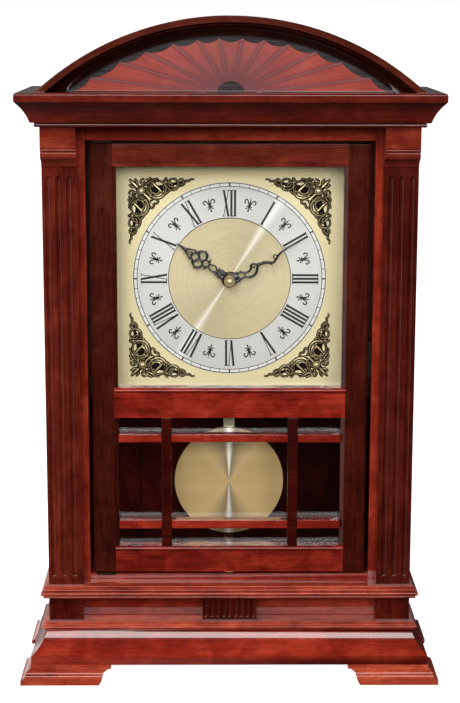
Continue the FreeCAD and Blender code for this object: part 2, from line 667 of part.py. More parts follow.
def pendulum_drive():
    """Housing under the movement: two cheeks, the pivot pin between them, and the coil."""
    housing = box(-17, 17, 50, 66, 198, MOVEMENT_BOTTOM)
    housing = housing.cut(box(-18, 18, 55.4, 60.8, 197, 222))
    pin = rod(1.0, (0, 53, PIVOT_Z), (0, 64, PIVOT_Z))
    save("pendulum_drive", housing.cut(pin), pin)


def pendulum():
    strip = 3.0
    hanger = box(-strip, strip, ROD_FRONT, ROD_BACK, 165, PIVOT_Z)
    hanger = hanger.fuse(rod(strip, (0, ROD_FRONT, PIVOT_Z), (0, ROD_BACK, PIVOT_Z)))
    shank = box(-3.8, 3.8, ROD_FRONT, ROD_BACK, 90, 175)
    thread = rod(1.4, (0, 58, 77), (0, 58, 92))
    magnet = rod(3.0, (0, ROD_BACK, 203), (0, ROD_BACK + 1.5, 203))
    bar = hanger.fuse(shank).fuse(thread).fuse(magnet)
    bar = bar.cut(rod(1.0 + FIT, (0, 50, PIVOT_Z), (0, 66, PIVOT_Z)))
    ribs = [box(-5, 5, ROD_FRONT - 1, ROD_FRONT + 0.3, z, z + 0.5) for z in range(161, 175)]
    save("pendulum_rod", cut_all(bar, ribs).removeSplitter())
    front = ROD_FRONT - BOB_THICK
    disc = rod(BOB_RADIUS, (0, front, BOB_Z), (0, ROD_FRONT, BOB_Z))
    disc = disc.common(Part.makeSphere(BOB_DOME, V(0, front + BOB_DOME, BOB_Z)))
    save("pendulum_bob", disc.cut(rod(1.45, (0, 58, 76), (0, 58, 92.2))))
    nut = rod(3.8, (0, 58, 79.6), (0, 58, 84.6))
    for i in range(16):
        a = 2 * math.pi * i / 16
        x, y = 4.0 * math.cos(a), 58 + 4.0 * math.sin(a)
        nut = nut.cut(rod(0.45, (x, y, 79), (x, y, 85)))
    save("rating_nut", nut.cut(rod(1.4 + FIT, (0, 58, 70), (0, 58, 90))))


# ---- back ---------------------------------------------------------------------------------

def access_stops():
    """Strips inside the back panel that the access door closes against, all round it.

    The hinge side's strip lies deeper, clear of the door's short edge as it swings inwards.
    """
    over, wide, narrow, thick, deep = 3.0, 5.0, 4.0, 3.0, 5.5
    swing = 4.4
    low, high = ACCESS_BOTTOM - wide, ACCESS_TOP + narrow
    front, glued = PANEL_FRONT - thick, PANEL_FRONT
    clear = ACCESS_HINGE[0] + swing
    right = box(ACCESS_HALF - over, ACCESS_HALF + wide, front, glued, low, high)
    bottom = box(clear, ACCESS_HALF, front, glued, low, ACCESS_BOTTOM + over)
    top = box(clear, ACCESS_HALF, front, glued, ACCESS_TOP - narrow, high)
    post = box(-ACCESS_HALF - narrow, -ACCESS_HALF - FIT, glued - deep, glued, low, high)
    shade = box(-ACCESS_HALF - narrow, clear + over, glued - deep, ACCESS_HINGE[1] - swing, low, high)
    return right, bottom, top, post, shade


def back():
    """Back panel with sound slots, and the access door that turns on two pins in it."""
    panel = box(-INSIDE, INSIDE, PANEL_FRONT, PANEL_BACK, SILL, CARCASS_TOP)
    panel = panel.cut(box(-ACCESS_HALF, ACCESS_HALF, 60, 90, ACCESS_BOTTOM, ACCESS_TOP))
    for stop in access_stops():
        panel = panel.fuse(stop)
    panel = panel.removeSplitter()
    for i in range(-3, 4):
        z = SPEAKER_Z + i * 5.0
        half = math.sqrt(19.0 ** 2 - (i * 5.0) ** 2)
        panel = panel.cut(box(-half, half, 60, 90, z - 1.2, z + 1.2))
    y0, y1 = ACCESS_DOOR
    half = ACCESS_HALF - ACCESS_GAP
    z0, z1 = ACCESS_BOTTOM + ACCESS_GAP, ACCESS_TOP - ACCESS_GAP
    door = box(-half, half, y0, y1, z0, z1)
    door = door.cut(rod(9.0, (60, 60, 200), (60, 90, 200)))
    pins = []
    for low, high, door_end in ((z0 - 4, z0 + 5, z0), (z1 - 5, z1 + 4, z1)):
        pins.append(rod(1.0, ACCESS_HINGE + (low,), ACCESS_HINGE + (high,)))
        panel = panel.cut(rod(1.0 + FIT, ACCESS_HINGE + (low - 0.5,), ACCESS_HINGE + (high + 0.5,)))
    save("back_panel", panel)
    save("back_door", cut_all(door, pins))
    save("back_door_pins", *pins)


os.makedirs("parts", exist_ok=True)
bracket_feet()
base()
plinth()
carcass()
pilasters()
cornice()
pediment()
fan()
front_door()
door_hardware()
dial()
hands()
motion_work()
movement_shells()
movement_inside()
speaker()
pendulum_drive()
pendulum()
back()

whole = Part.makeCompound(list(SOLIDS.values())).optimalBoundingBox()
print(len(SOLIDS), "nodes;", "size %.1f x %.1f x %.1f mm" % (
    whole.XLength, whole.YLength, whole.ZLength))
for node, shape in SOLIDS.items():
    if not shape.isValid():
        print("not valid:", node)
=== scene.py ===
"""Looks of the mantel clock: lacquered mahogany, a veneered fan, a brushed dial and a brass pendulum.

Metres, in the CAD model's frame: +Z up, the front towards -Y. The CAD nodes keep their shapes and get
procedural materials and eased edges; the dial's print, its ornaments and the hands are built here.
"""

import math

import bmesh
import bpy
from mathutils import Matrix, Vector


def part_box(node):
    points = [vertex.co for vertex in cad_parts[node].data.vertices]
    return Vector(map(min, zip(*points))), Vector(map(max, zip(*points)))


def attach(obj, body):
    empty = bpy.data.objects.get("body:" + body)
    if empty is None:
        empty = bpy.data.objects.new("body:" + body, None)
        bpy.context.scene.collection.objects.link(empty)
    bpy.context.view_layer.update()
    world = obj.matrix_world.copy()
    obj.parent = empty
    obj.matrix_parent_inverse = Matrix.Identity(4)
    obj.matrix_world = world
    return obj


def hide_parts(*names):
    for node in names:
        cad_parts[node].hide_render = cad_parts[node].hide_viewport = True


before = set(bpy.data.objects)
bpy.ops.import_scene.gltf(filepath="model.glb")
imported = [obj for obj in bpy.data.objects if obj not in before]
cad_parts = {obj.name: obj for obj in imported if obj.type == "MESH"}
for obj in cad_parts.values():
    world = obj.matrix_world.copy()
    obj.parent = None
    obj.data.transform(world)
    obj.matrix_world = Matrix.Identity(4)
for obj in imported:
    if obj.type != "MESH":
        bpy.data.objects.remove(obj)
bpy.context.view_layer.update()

MM = 0.001
TURN = 2 * math.pi

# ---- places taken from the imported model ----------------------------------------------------

RING_LOW, RING_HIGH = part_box("chapter_ring")
DIAL_X = (RING_LOW.x + RING_HIGH.x) / 2
DIAL_Z = (RING_LOW.z + RING_HIGH.z) / 2
RING_FACE = RING_LOW.y
PLATE_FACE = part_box("dial_plate")[0].y
ARCH_LOW, ARCH_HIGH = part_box("arch_moulding")
BLADE_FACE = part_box("fan_blades")[0].y
HUB_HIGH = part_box("fan_hub")[1]
CASE_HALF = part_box("side_panel_right")[1].x
COVE_LOW, COVE_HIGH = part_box("cornice_mouldings")
FASCIA_FOOT = COVE_HIGH.z - 6.0 * MM
PILASTER_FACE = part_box("pilaster_right")[0].y
BASE_MIDDLE = sum(corner.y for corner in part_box("bracket_feet")) / 2

# ---- sizes that only the looks need --------------------------------------------------------

HOUR_ANGLE = 305.0
MINUTE_ANGLE = 60.0
ARCH_RADIUS = 184.7 * MM
ARCH_CENTRE = ARCH_HIGH.z - ARCH_RADIUS
FAN_HUB_RADIUS = 9.0 * MM
FAN_FOOT = HUB_HIGH.z - FAN_HUB_RADIUS + 0.1 * MM
# The lean of the painted highlight on the dial's ring and centre, in degrees from upright.
DIAL_PAINTED_STREAK = 33.0
INK = 0.06 * MM
FOIL = 0.1 * MM
FRAME_INNER = 94.8 * MM
ARCH_FILLET = (179.8 * MM, 180.6 * MM)
UPRIGHT_BAR = 42.45 * MM
UPRIGHT_BAR_EDGE = (3.3 * MM, 3.6 * MM)
SIDE_INNER_FACE = (112.2 * MM, 112.8 * MM)
BACK_INNER_FACE = (35.0 * MM, 35.6 * MM)


# ---- mesh tools ----------------------------------------------------------------------------

FLAT = ((-1, 0), (-1, 1), (1, 1), (1, 0))
CROWNED = ((-1, 0), (-1, 0.35), (-0.6, 0.85), (0, 1), (0.6, 0.85), (1, 0.35), (1, 0))


class Relief:
    """Flat work that faces the front: outlines in millimetres, (right, up) from a middle."""

    def __init__(self, middle, back, height):
        self.x, self.z = middle
        self.back = back
        self.height = height
        self.mesh = bmesh.new()

    def place(self, point, share):
        return self.mesh.verts.new((self.x + point[0] * MM, self.back - self.height * share,
                                    self.z + point[1] * MM))

    def stroke(self, line, widths, section=FLAT, closed=False):
        """A bar along a line, with its width at each point (or one width for all)."""
        count = len(line)
        if not hasattr(widths, "__len__"):
            widths = (widths,) * count
        rings = []
        for i, point in enumerate(line):
            before = line[i - 1] if i or closed else point
            after = line[(i + 1) % count] if i + 1 < count or closed else point
            along = Vector(after) - Vector(before)
            along.normalize()
            across = Vector((along.y, -along.x)) * widths[i] / 2
            rings.append([self.place(Vector(point) + across * a, h) for a, h in section])
        pairs = list(zip(rings, rings[1:]))
        if closed:
            pairs.append((rings[-1], rings[0]))
        for one, two in pairs:
            for k in range(len(section)):
                j = (k + 1) % len(section)
                self.mesh.faces.new((one[k], one[j], two[j], two[k]))
        if not closed:
            self.mesh.faces.new(rings[0])
            self.mesh.faces.new(rings[-1])

    def circle(self, radius, width, centre=(0, 0), section=FLAT, steps=None):
        steps = steps or max(16, int(radius * 3))
        line = [(centre[0] + radius * math.cos(TURN * i / steps),
                 centre[1] + radius * math.sin(TURN * i / steps)) for i in range(steps)]
        self.stroke(line, width, section, closed=True)

    def finish(self, name, material, body, slot, smooth=True):
        bmesh.ops.recalc_face_normals(self.mesh, faces=self.mesh.faces)
        return shown(self.mesh, name, material, body, smooth)


def shown(mesh, name, material, body, smooth=True):
    """A bmesh as a piece of the object, smooth but for its sharp edges."""
    data = bpy.data.meshes.new(name)
    mesh.to_mesh(data)
    mesh.free()
    piece = bpy.data.objects.new(name, data)
    bpy.context.scene.collection.objects.link(piece)
    if smooth:
        data.shade_smooth()
        data.set_sharp_from_angle(angle=math.radians(35))
    data.materials.append(material)
    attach(piece, body)
    return piece


def smooth_line(points, steps=6):
    """Points on a smooth line through the given ones."""
    ends = [points[0]] + list(points) + [points[-1]]
    line = []
    for a, b, c, d in zip(ends, ends[1:], ends[2:], ends[3:]):
        for i in range(steps):
            t = i / steps
            line.append(tuple(
                0.5 * (2 * q + (r - p) * t + (2 * p - 5 * q + 4 * r - s) * t * t
                       + (3 * q - p - 3 * r + s) * t * t * t)
                for p, q, r, s in zip(a, b, c, d)))
    return line + [tuple(points[-1])]


def spiral(centre, start_radius, end_radius, start, end, steps=18):
    """Points on a spiral; its angles are in degrees, anticlockwise from the right."""
    line = []
    for i in range(steps + 1):
        t = i / steps
        angle = math.radians(start + (end - start) * t)
        radius = start_radius + (end_radius - start_radius) * t
        line.append((centre[0] + radius * math.cos(angle), centre[1] + radius * math.sin(angle)))
    return line


def taper(count, first, middle, last):
    """Widths that run from first through middle to last."""
    widths = []
    for i in range(count):
        t = 2 * i / (count - 1)
        widths.append(first + (middle - first) * t if t < 1 else middle + (last - middle) * (t - 1))
    return widths


# ---- material tools ------------------------------------------------------------------------

class Tree:
    """One material's nodes, with its Principled shader at the end."""

    def __init__(self, name, **finish):
        self.material = bpy.data.materials.new(name)
        self.material.use_nodes = True
        self.nodes = self.material.node_tree.nodes
        self.links = self.material.node_tree.links
        self.shader = self.nodes["Principled BSDF"]
        self.set(self.shader, **{label(k): v for k, v in finish.items()})

    def set(self, node, **inputs):
        for name, value in inputs.items():
            socket = node.inputs[int(name)] if name.isdigit() else node.inputs[name]
            if isinstance(value, bpy.types.NodeSocket):
                self.links.new(value, socket)
            elif isinstance(value, tuple) and len(value) == 3 and socket.type == "RGBA":
                socket.default_value = value + (1,)
            else:
                socket.default_value = value

    def add(self, kind, inputs=None, **settings):
        node = self.nodes.new("ShaderNode" + kind)
        for name, value in settings.items():
            setattr(node, name, value)
        self.set(node, **(inputs or {}))
        return node

    def place(self):
        """The point in the row frame, because no piece's object is moved within its body."""
        return self.add("TexCoord").outputs["Object"]

    def math(self, operation, *values):
        node = self.add("Math", operation=operation)
        self.set(node, **{str(i): v for i, v in enumerate(values)})
        return node.outputs[0]

    def split(self, vector):
        return self.add("SeparateXYZ", {"Vector": vector}).outputs

    def join(self, x, y, z):
        return self.add("CombineXYZ", {"X": x, "Y": y, "Z": z}).outputs[0]

    def scaled(self, vector, scale, shift=(0.0, 0.0, 0.0)):
        return self.add("Mapping", {"Vector": vector, "Scale": scale, "Location": shift}).outputs[0]

    def noise(self, vector, scale, detail=3.0, rough=0.55, twist=0.0, shift=(0.0, 0.0, 0.0)):
        """Noise with its own scale for each direction, per metre."""
        where = self.scaled(vector, scale, shift)
        return self.add("TexNoise", {"Vector": where, "Scale": 1.0, "Detail": detail,
                                     "Roughness": rough, "Distortion": twist}).outputs["Fac"]

    def ramp(self, value, *stops):
        """Colours or numbers against a value from 0 to 1."""
        node = self.add("ValToRGB", {"Fac": value})
        while len(node.color_ramp.elements) < len(stops):
            node.color_ramp.elements.new(0.5)
        for element, (position, colour) in zip(node.color_ramp.elements, stops):
            element.position = position
            colour = colour if isinstance(colour, tuple) else (colour,) * 3
            element.color = colour + (1,)
        return node.outputs["Color"]

    def range(self, value, low, high, to_low=0.0, to_high=1.0):
        return self.add("MapRange", {"Value": value, "From Min": low, "From Max": high,
                                     "To Min": to_low, "To Max": to_high}).outputs[0]

    def mix(self, share, a, b, blend="MIX"):
        node = self.add("Mix", data_type="RGBA", blend_type=blend)
        self.set(node, **{"0": share, "6": a, "7": b})
        return node.outputs[2]

    def mix_vectors(self, share, a, b):
        node = self.add("Mix", data_type="VECTOR")
        self.set(node, **{"0": share, "4": a, "5": b})
        return node.outputs[1]

    def bump(self, height, depth, strength=1.0):
        """Relief from a height of 0 to 1, depth metres deep."""
        node = self.add("Bump", {"Height": height, "Distance": depth, "Strength": strength})
        self.set(self.shader, Normal=node.outputs[0])


def label(word):
    return word.replace("_", " ").title().replace("Ior", "IOR")


# ---- grain directions ----------------------------------------------------------------------
# Each gives the point with the grain's own direction first. Those with sizes return a function
# that does so.

def grain_x(tree):
    return tree.place()


def grain_z(tree):
    x, y, z = tree.split(tree.place())
    return tree.join(z, y, x)


def grain_round(half, front, middle):
    """Along the front and back of a rectangle, and along its sides between the mitred corners."""
    def build(tree):
        x, y, z = tree.split(tree.place())
        out = tree.math("SUBTRACT", tree.math("ABSOLUTE", x), half)
        away = tree.math("ABSOLUTE", tree.math("SUBTRACT", y, middle))
        away = tree.math("SUBTRACT", away, middle - front)
        side = tree.math("GREATER_THAN", out, away)
        return tree.mix_vectors(side, tree.join(x, y, z), tree.join(y, x, z))
    return build


def grain_frame(half):
    """Upright outside the half width, level within it."""
    def build(tree):
        x, y, z = tree.split(tree.place())
        side = tree.math("GREATER_THAN", tree.math("ABSOLUTE", x), half)
        return tree.mix_vectors(side, tree.join(x, y, z), tree.join(z, y, x))
    return build


def grain_arch(centre, radius):
    """Along an arch about a line through the centre height."""
    def build(tree):
        x, y, z = tree.split(tree.place())
        up = tree.math("SUBTRACT", z, centre)
        angle = tree.math("ARCTAN2", x, up)
        out = tree.math("SQRT", tree.math("ADD", tree.math("MULTIPLY", x, x),
                                          tree.math("MULTIPLY", up, up)))
        return tree.join(tree.math("MULTIPLY", angle, radius), y, out)
    return build


# ---- materials -----------------------------------------------------------------------------

WOOD_DARK = (0.062, 0.0030, 0.0014)
WOOD_MID = (0.150, 0.0100, 0.0046)
WOOD_LIGHT = (0.275, 0.0260, 0.0115)


def mahogany(name, grain, tone_and_lighting=1.0, seed=0.0, figure=1.0, brown=1.0, coat=1.0, shade=None):
    """Red mahogany under clear lacquer.

    Tone and lighting is a factor that lightens or darkens the board, both for its own tone and as
    painted light and shade; brown makes it less red, and shade gives a factor of painted shade for
    its colour from place to place.
    """
    tree = Tree(name, roughness=0.5, specular_ior_level=0.02, coat_weight=coat,
                coat_roughness=0.05, coat_ior=1.5)
    at = grain(tree)
    shift = (seed * 0.731, seed * 0.417, seed * 0.239)
    broad = tree.noise(at, (8.0, 44.0, 44.0), 3.0, 0.5, 0.5, shift)
    fine = tree.noise(at, (38.0, 460.0, 460.0), 4.0, 0.6, 0.0, shift)
    cloud = tree.noise(at, (52.0, 60.0, 60.0), 3.0, 0.6, 0.8, shift)
    pores = tree.noise(at, (110.0, 2600.0, 2600.0), 2.0, 0.5, 0.0, shift)
    blend = tree.math("ADD", tree.math("MULTIPLY", broad, 0.36 * figure),
                      tree.math("MULTIPLY", fine, 0.26))
    blend = tree.math("ADD", blend, tree.math("MULTIPLY", cloud, 0.34 * figure))
    middle = 0.5 * (0.70 * figure + 0.26)
    value = tree.range(blend, middle - 0.15, middle + 0.15)
    # The tone and lighting factor scales all three colours: the board's own tone, with painted light
    # and shade for some boards.
    dark, mid, light = ((red * tone_and_lighting, green * tone_and_lighting * brown, blue * tone_and_lighting * brown)
                        for red, green, blue in (WOOD_DARK, WOOD_MID, WOOD_LIGHT))
    colour = tree.ramp(value, (0.0, dark), (0.5, mid), (1.0, light))
    speck = tree.range(pores, 0.36, 0.46)
    colour = tree.mix(1.0, colour, tree.ramp(speck, (0.0, 0.62), (1.0, 1.0)), "MULTIPLY")
    # Shade multiplies painted shade into the colour from place to place.
    if shade:
        level = shade(tree)
        colour = tree.mix(1.0, colour, tree.join(level, level, level), "MULTIPLY")
    tree.set(tree.shader, **{"Base Color": colour})
    skin = tree.noise(at, (60.0, 90.0, 90.0), 2.0, 0.5, 0.0, shift)
    relief = tree.math("ADD", tree.math("MULTIPLY", speck, 0.12), skin)
    tree.bump(relief, 0.00004, 0.1)
    return tree.material


def arch_shade(tree):
    """Painted shade: the arch is nearly black but for its outer fillet, as its cove faces down."""
    x, y, z = tree.split(tree.place())
    up = tree.math("SUBTRACT", z, ARCH_CENTRE)
    out = tree.math("SQRT", tree.math("ADD", tree.math("MULTIPLY", x, x),
                                      tree.math("MULTIPLY", up, up)))
    return tree.range(out, *ARCH_FILLET, 0.16, 1.0)


def bar_shade(tree):
    """Painted shade: the upright glazing bars are darker than the level ones."""
    x, y, z = tree.split(tree.place())
    off = tree.math("ABSOLUTE", tree.math("SUBTRACT", tree.math("ABSOLUTE", x), UPRIGHT_BAR))
    return tree.range(off, *UPRIGHT_BAR_EDGE, 0.18, 1.0)


def side_shade(tree):
    """Painted shade: the side panels are dark inside the case."""
    x, y, z = tree.split(tree.place())
    return tree.range(tree.math("ABSOLUTE", x), *SIDE_INNER_FACE, 0.22, 1.0)


def inner_shade(tree):
    """Painted shade: the back panel is dark inside the case, and darker towards the right."""
    x, y, z = tree.split(tree.place())
    inside = tree.range(x, -0.05, 0.05, 0.5, 0.2)
    return tree.math("MAXIMUM", inside, tree.range(y, *BACK_INNER_FACE))


def cove_shade(tree):
    """Painted shade: the cornice's cove is darker towards its top, and the flat fascia above it is not.
    """
    x, y, z = tree.split(tree.place())
    cove = tree.range(z, COVE_LOW.z + 6.0 * MM, FASCIA_FOOT, 1.0, 0.3)
    return tree.math("MAXIMUM", cove, tree.range(z, FASCIA_FOOT, FASCIA_FOOT + 0.4 * MM))


def fan_angles():
    """Tangents of the boundaries between the fan's veneers, from the tips of the veneers."""
    reach = max((Vector((v.co.x, v.co.z - ARCH_CENTRE)).length
                 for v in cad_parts["fan_blades"].data.vertices))
    tips = set()
    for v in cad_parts["fan_blades"].data.vertices:
        out = Vector((v.co.x, v.co.z - ARCH_CENTRE)).length
        if out > reach - 0.05 * MM and v.co.x > 0:
            tips.add((round(v.co.x, 5), round(v.co.z, 5)))
    return sorted(tips)


FAN_TIPS = fan_angles()


def veneer(name):
    """Fan veneers: the grain runs out from the foot, and each is scorched dark at its edges."""
    tree = Tree(name, roughness=0.5, specular_ior_level=0.02, coat_weight=0.8, coat_roughness=0.08)
    x, y, z = tree.split(tree.place())
    up = tree.math("SUBTRACT", z, FAN_FOOT)
    side = tree.math("ABSOLUTE", x)
    out = tree.math("SQRT", tree.math("ADD", tree.math("MULTIPLY", x, x),
                                      tree.math("MULTIPLY", up, up)))
    angle = tree.math("ARCTAN2", side, up)
    whole = tree.math("ARCTAN2", x, up)
    at = tree.join(out, tree.math("MULTIPLY", whole, 0.06), 0.0)
    grain = tree.noise(at, (30.0, 900.0, 1.0), 4.0, 0.6)
    cloud = tree.noise(at, (70.0, 60.0, 1.0), 2.0, 0.5, 0.5)
    value = tree.math("ADD", tree.math("MULTIPLY", grain, 0.6), tree.math("MULTIPLY", cloud, 0.6))
    colour = tree.ramp(tree.range(value, 0.35, 0.85), (0.0, (0.28, 0.042, 0.032)),
                       (0.5, (0.42, 0.074, 0.054)), (1.0, (0.54, 0.110, 0.070)))
    foot = tree.range(out, 0.006, 0.075, 0.0, 1.0)
    colour = tree.mix(foot, (0.115, 0.050, 0.050), colour)
    colour = tree.mix(tree.range(side, 0.015, 0.080, 0.0, 0.62), colour, (0.10, 0.020, 0.016))
    near = 1.0
    for tip_x, tip_z in FAN_TIPS:
        edge = math.atan2(tip_x, tip_z - FAN_FOOT)
        off = tree.math("ABSOLUTE", tree.math("SUBTRACT", angle, edge))
        near = tree.math("MINIMUM", tree.math("MULTIPLY", off, out), near)
    scorch = tree.range(near, 0.0004, 0.0028, 0.62, 0.0)
    colour = tree.mix(scorch, colour, (0.12, 0.030, 0.034))
    tree.set(tree.shader, **{"Base Color": colour})
    tree.bump(grain, 0.00004, 0.3)
    return tree.material


def ebonised(name):
    tree = Tree(name, roughness=0.5, specular_ior_level=0.02, coat_weight=0.8, coat_roughness=0.08)
    grain = tree.noise(tree.place(), (20.0, 300.0, 700.0), 3.0)
    tree.set(tree.shader, **{"Base Color": tree.ramp(grain, (0.3, (0.020, 0.016, 0.018)),
                                                     (0.7, (0.048, 0.038, 0.040)))})
    tree.bump(grain, 0.00003, 0.3)
    return tree.material


def pale_board(name):
    """Unlacquered brown board of the back and the dial board."""
    tree = Tree(name, roughness=0.75, specular_ior_level=0.3)
    at = tree.place()
    fibres = tree.noise(at, (900.0, 900.0, 260.0), 5.0, 0.7)
    cloud = tree.noise(at, (14.0, 14.0, 9.0), 3.0)
    value = tree.math("ADD", tree.math("MULTIPLY", fibres, 0.6), tree.math("MULTIPLY", cloud, 0.4))
    colour = tree.ramp(value, (0.35, (0.060, 0.020, 0.012)), (0.65, (0.125, 0.045, 0.026)))
    tree.set(tree.shader, **{"Base Color": colour})
    tree.bump(fibres, 0.00012, 0.5)
    return tree.material


def brass(name, rough=0.18, colour=(0.80, 0.58, 0.26), scratch=900.0, metallic=1.0):
    """Lacquered brass with fine wear."""
    tree = Tree(name, metallic=metallic, coat_weight=0.2, coat_roughness=0.1)
    at = tree.place()
    wear = tree.noise(at, (scratch,) * 3, 4.0, 0.65)
    cloud = tree.noise(at, (70.0,) * 3, 3.0)
    dull = tuple(c * 0.78 for c in colour)
    tree.set(tree.shader, **{"Base Color": tree.mix(cloud, dull, colour),
                             "Roughness": tree.range(wear, 0.3, 0.7, rough * 0.75, rough * 1.3)})
    tree.bump(wear, 0.00001, 0.2)
    return tree.material


def spun(name, middle, colour, metallic, rough, anisotropic, turn=0.0, pitch=2600.0, contrast=0.12,
         painted_streak=None):
    """Metal brushed in circles about a middle, given by its x and z.

    A painted streak is a painted highlight across it, with darker wedges of painted shade beside
    it: its colour, its turn from upright, its half width and the reach of its wedges in degrees,
    their depth, and how metallic it is.
    """
    tree = Tree(name, metallic=metallic, anisotropic=anisotropic, anisotropic_rotation=turn,
                specular_ior_level=0.6)
    x, y, z = tree.split(tree.place())
    side = tree.math("SUBTRACT", x, middle[0])
    up = tree.math("SUBTRACT", z, middle[1])
    out = tree.math("SQRT", tree.math("ADD", tree.math("MULTIPLY", side, side),
                                      tree.math("MULTIPLY", up, up)))
    angle = tree.math("ARCTAN2", side, up)
    at = tree.join(out, tree.math("MULTIPLY", angle, 0.02), 0.0)
    lines = tree.noise(at, (pitch, 60.0, 1.0), 4.0, 0.7)
    dull = tuple(c * (1 - contrast) for c in colour)
    bright = tuple(min(1.0, c * (1 + contrast)) for c in colour)
    tint = tree.ramp(lines, (0.3, dull), (0.7, bright))
    # Painted highlight: a bright streak is painted into the colour, with darker wedges of painted shade
    # beside it.
    if painted_streak:
        light, lean, half, reach, depth, metal = painted_streak
        off = tree.math("SUBTRACT", angle, math.radians(lean))
        off = tree.math("ARCSINE", tree.math("ABSOLUTE", tree.math("SINE", off)))
        rising = tree.range(off, math.radians(half), math.radians(reach), 1 - depth, 1.0)
        tint = tree.mix(1.0, tint, tree.join(rising, rising, rising), "MULTIPLY")
        near = tree.range(off, 0.0, math.radians(half), 1.0, 0.0)
        near = tree.math("POWER", near, 1.5)
        tint = tree.mix(near, tint, light)
        tree.set(tree.shader, Metallic=tree.range(near, 0.0, 1.0, metallic, metal))
    tree.set(tree.shader, **{"Base Color": tint,
                             "Roughness": tree.range(lines, 0.3, 0.7, rough * 0.85, rough * 1.15)})
    tangent = tree.add("Tangent", direction_type="RADIAL", axis="Y")
    tree.set(tree.shader, Tangent=tangent.outputs[0])
    tree.bump(lines, 0.00001, 0.25)
    return tree.material


def satin_gold(name):
    """The dial plate: fine upright brushing on pale gold."""
    tree = Tree(name, metallic=0.1, roughness=0.42, specular_ior_level=0.3)
    at = tree.place()
    lines = tree.noise(at, (500.0, 500.0, 500.0), 4.0, 0.6)
    cloud = tree.noise(at, (25.0, 25.0, 25.0), 2.0)
    value = tree.math("ADD", tree.math("MULTIPLY", lines, 0.5), tree.math("MULTIPLY", cloud, 0.5))
    colour = tree.ramp(value, (0.3, (0.86, 0.75, 0.43)), (0.7, (0.93, 0.82, 0.49)))
    tree.set(tree.shader, **{"Base Color": colour})
    tree.bump(lines, 0.00001, 0.2)
    return tree.material


def paint(name, colour, rough=0.4, grain=0.12, scale=1500.0, coat=0.0, shine=0.5):
    """Paint, ink or moulded plastic with a fine mottle in its colour and surface."""
    tree = Tree(name, coat_weight=coat, coat_roughness=0.1, specular_ior_level=shine)
    at = tree.place()
    speck = tree.noise(at, (scale,) * 3, 3.0, 0.6)
    cloud = tree.noise(at, (40.0,) * 3, 2.0)
    value = tree.math("ADD", tree.math("MULTIPLY", speck, 0.6), tree.math("MULTIPLY", cloud, 0.4))
    low = tuple(c * (1 - grain) for c in colour)
    high = tuple(c * (1 + grain) for c in colour)
    tree.set(tree.shader, **{"Base Color": tree.ramp(value, (0.35, low), (0.65, high)),
                             "Roughness": tree.range(speck, 0.3, 0.7, rough * 0.85, rough * 1.15)})
    tree.bump(speck, 0.00003, 0.3)
    return tree.material


def glass(name):
    """Clear pane: it lets light straight through and mirrors a little of it."""
    tree = Tree(name)
    clear = tree.add("BsdfTransparent")
    mirror = tree.add("BsdfGlossy", {"Roughness": 0.0, "Color": (0.9, 0.92, 0.92)})
    share = tree.add("Fresnel", {"IOR": 1.45})
    smear = tree.noise(tree.place(), (22.0, 22.0, 22.0), 3.0)
    weight = tree.math("MULTIPLY", share.outputs[0], tree.range(smear, 0.3, 0.7, 0.9, 1.0))
    mixed = tree.add("MixShader", {"0": weight, "1": clear.outputs[0], "2": mirror.outputs[0]})
    output = tree.nodes["Material Output"]
    tree.links.new(mixed.outputs[0], output.inputs["Surface"])
    return tree.material


def dress(material, *names):
    """Gives CAD nodes their finish."""
    for name in names:
        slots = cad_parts[name].material_slots
        for entry in slots:
            entry.link = "OBJECT"
            entry.material = material


# ---- eased edges ---------------------------------------------------------------------------

def cleaning_nodes():
    """Joins the CAD mesh's split corners, so that a bevel can run along an edge."""
    group = bpy.data.node_groups.new("join_corners", "GeometryNodeTree")
    group.interface.new_socket("Geometry", in_out="INPUT", socket_type="NodeSocketGeometry")
    group.interface.new_socket("Geometry", in_out="OUTPUT", socket_type="NodeSocketGeometry")
    start = group.nodes.new("NodeGroupInput")
    end = group.nodes.new("NodeGroupOutput")
    drop = group.nodes.new("GeometryNodeRemoveAttribute")
    drop.inputs["Name"].default_value = "custom_normal"
    merge = group.nodes.new("GeometryNodeMergeByDistance")
    merge.inputs["Distance"].default_value = 0.001 * MM
    smooth = group.nodes.new("GeometryNodeSetShadeSmooth")
    group.links.new(start.outputs[0], drop.inputs["Geometry"])
    group.links.new(drop.outputs[0], merge.inputs["Geometry"])
    group.links.new(merge.outputs[0], smooth.inputs["Geometry"])
    group.links.new(smooth.outputs[0], end.inputs[0])
    return group


JOIN_CORNERS = cleaning_nodes()
EDGE_ANGLE = 28.0


def ease(width, *names, segments=2):
    """Rounds the sharp edges of wooden pieces by a width in millimetres."""
    for name in names:
        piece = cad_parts[name]
        clean = piece.modifiers.new("join_corners", "NODES")
        clean.node_group = JOIN_CORNERS
        bevel = piece.modifiers.new("eased_edges", "BEVEL")
        bevel.width = width * MM
        bevel.segments = segments
        bevel.limit_method = "ANGLE"
        bevel.angle_limit = math.radians(EDGE_ANGLE)
        bevel.use_clamp_overlap = True
        shade = piece.modifiers.new("flat_faces", "WEIGHTED_NORMAL")
        shade.mode = "FACE_AREA"
        shade.weight = 100


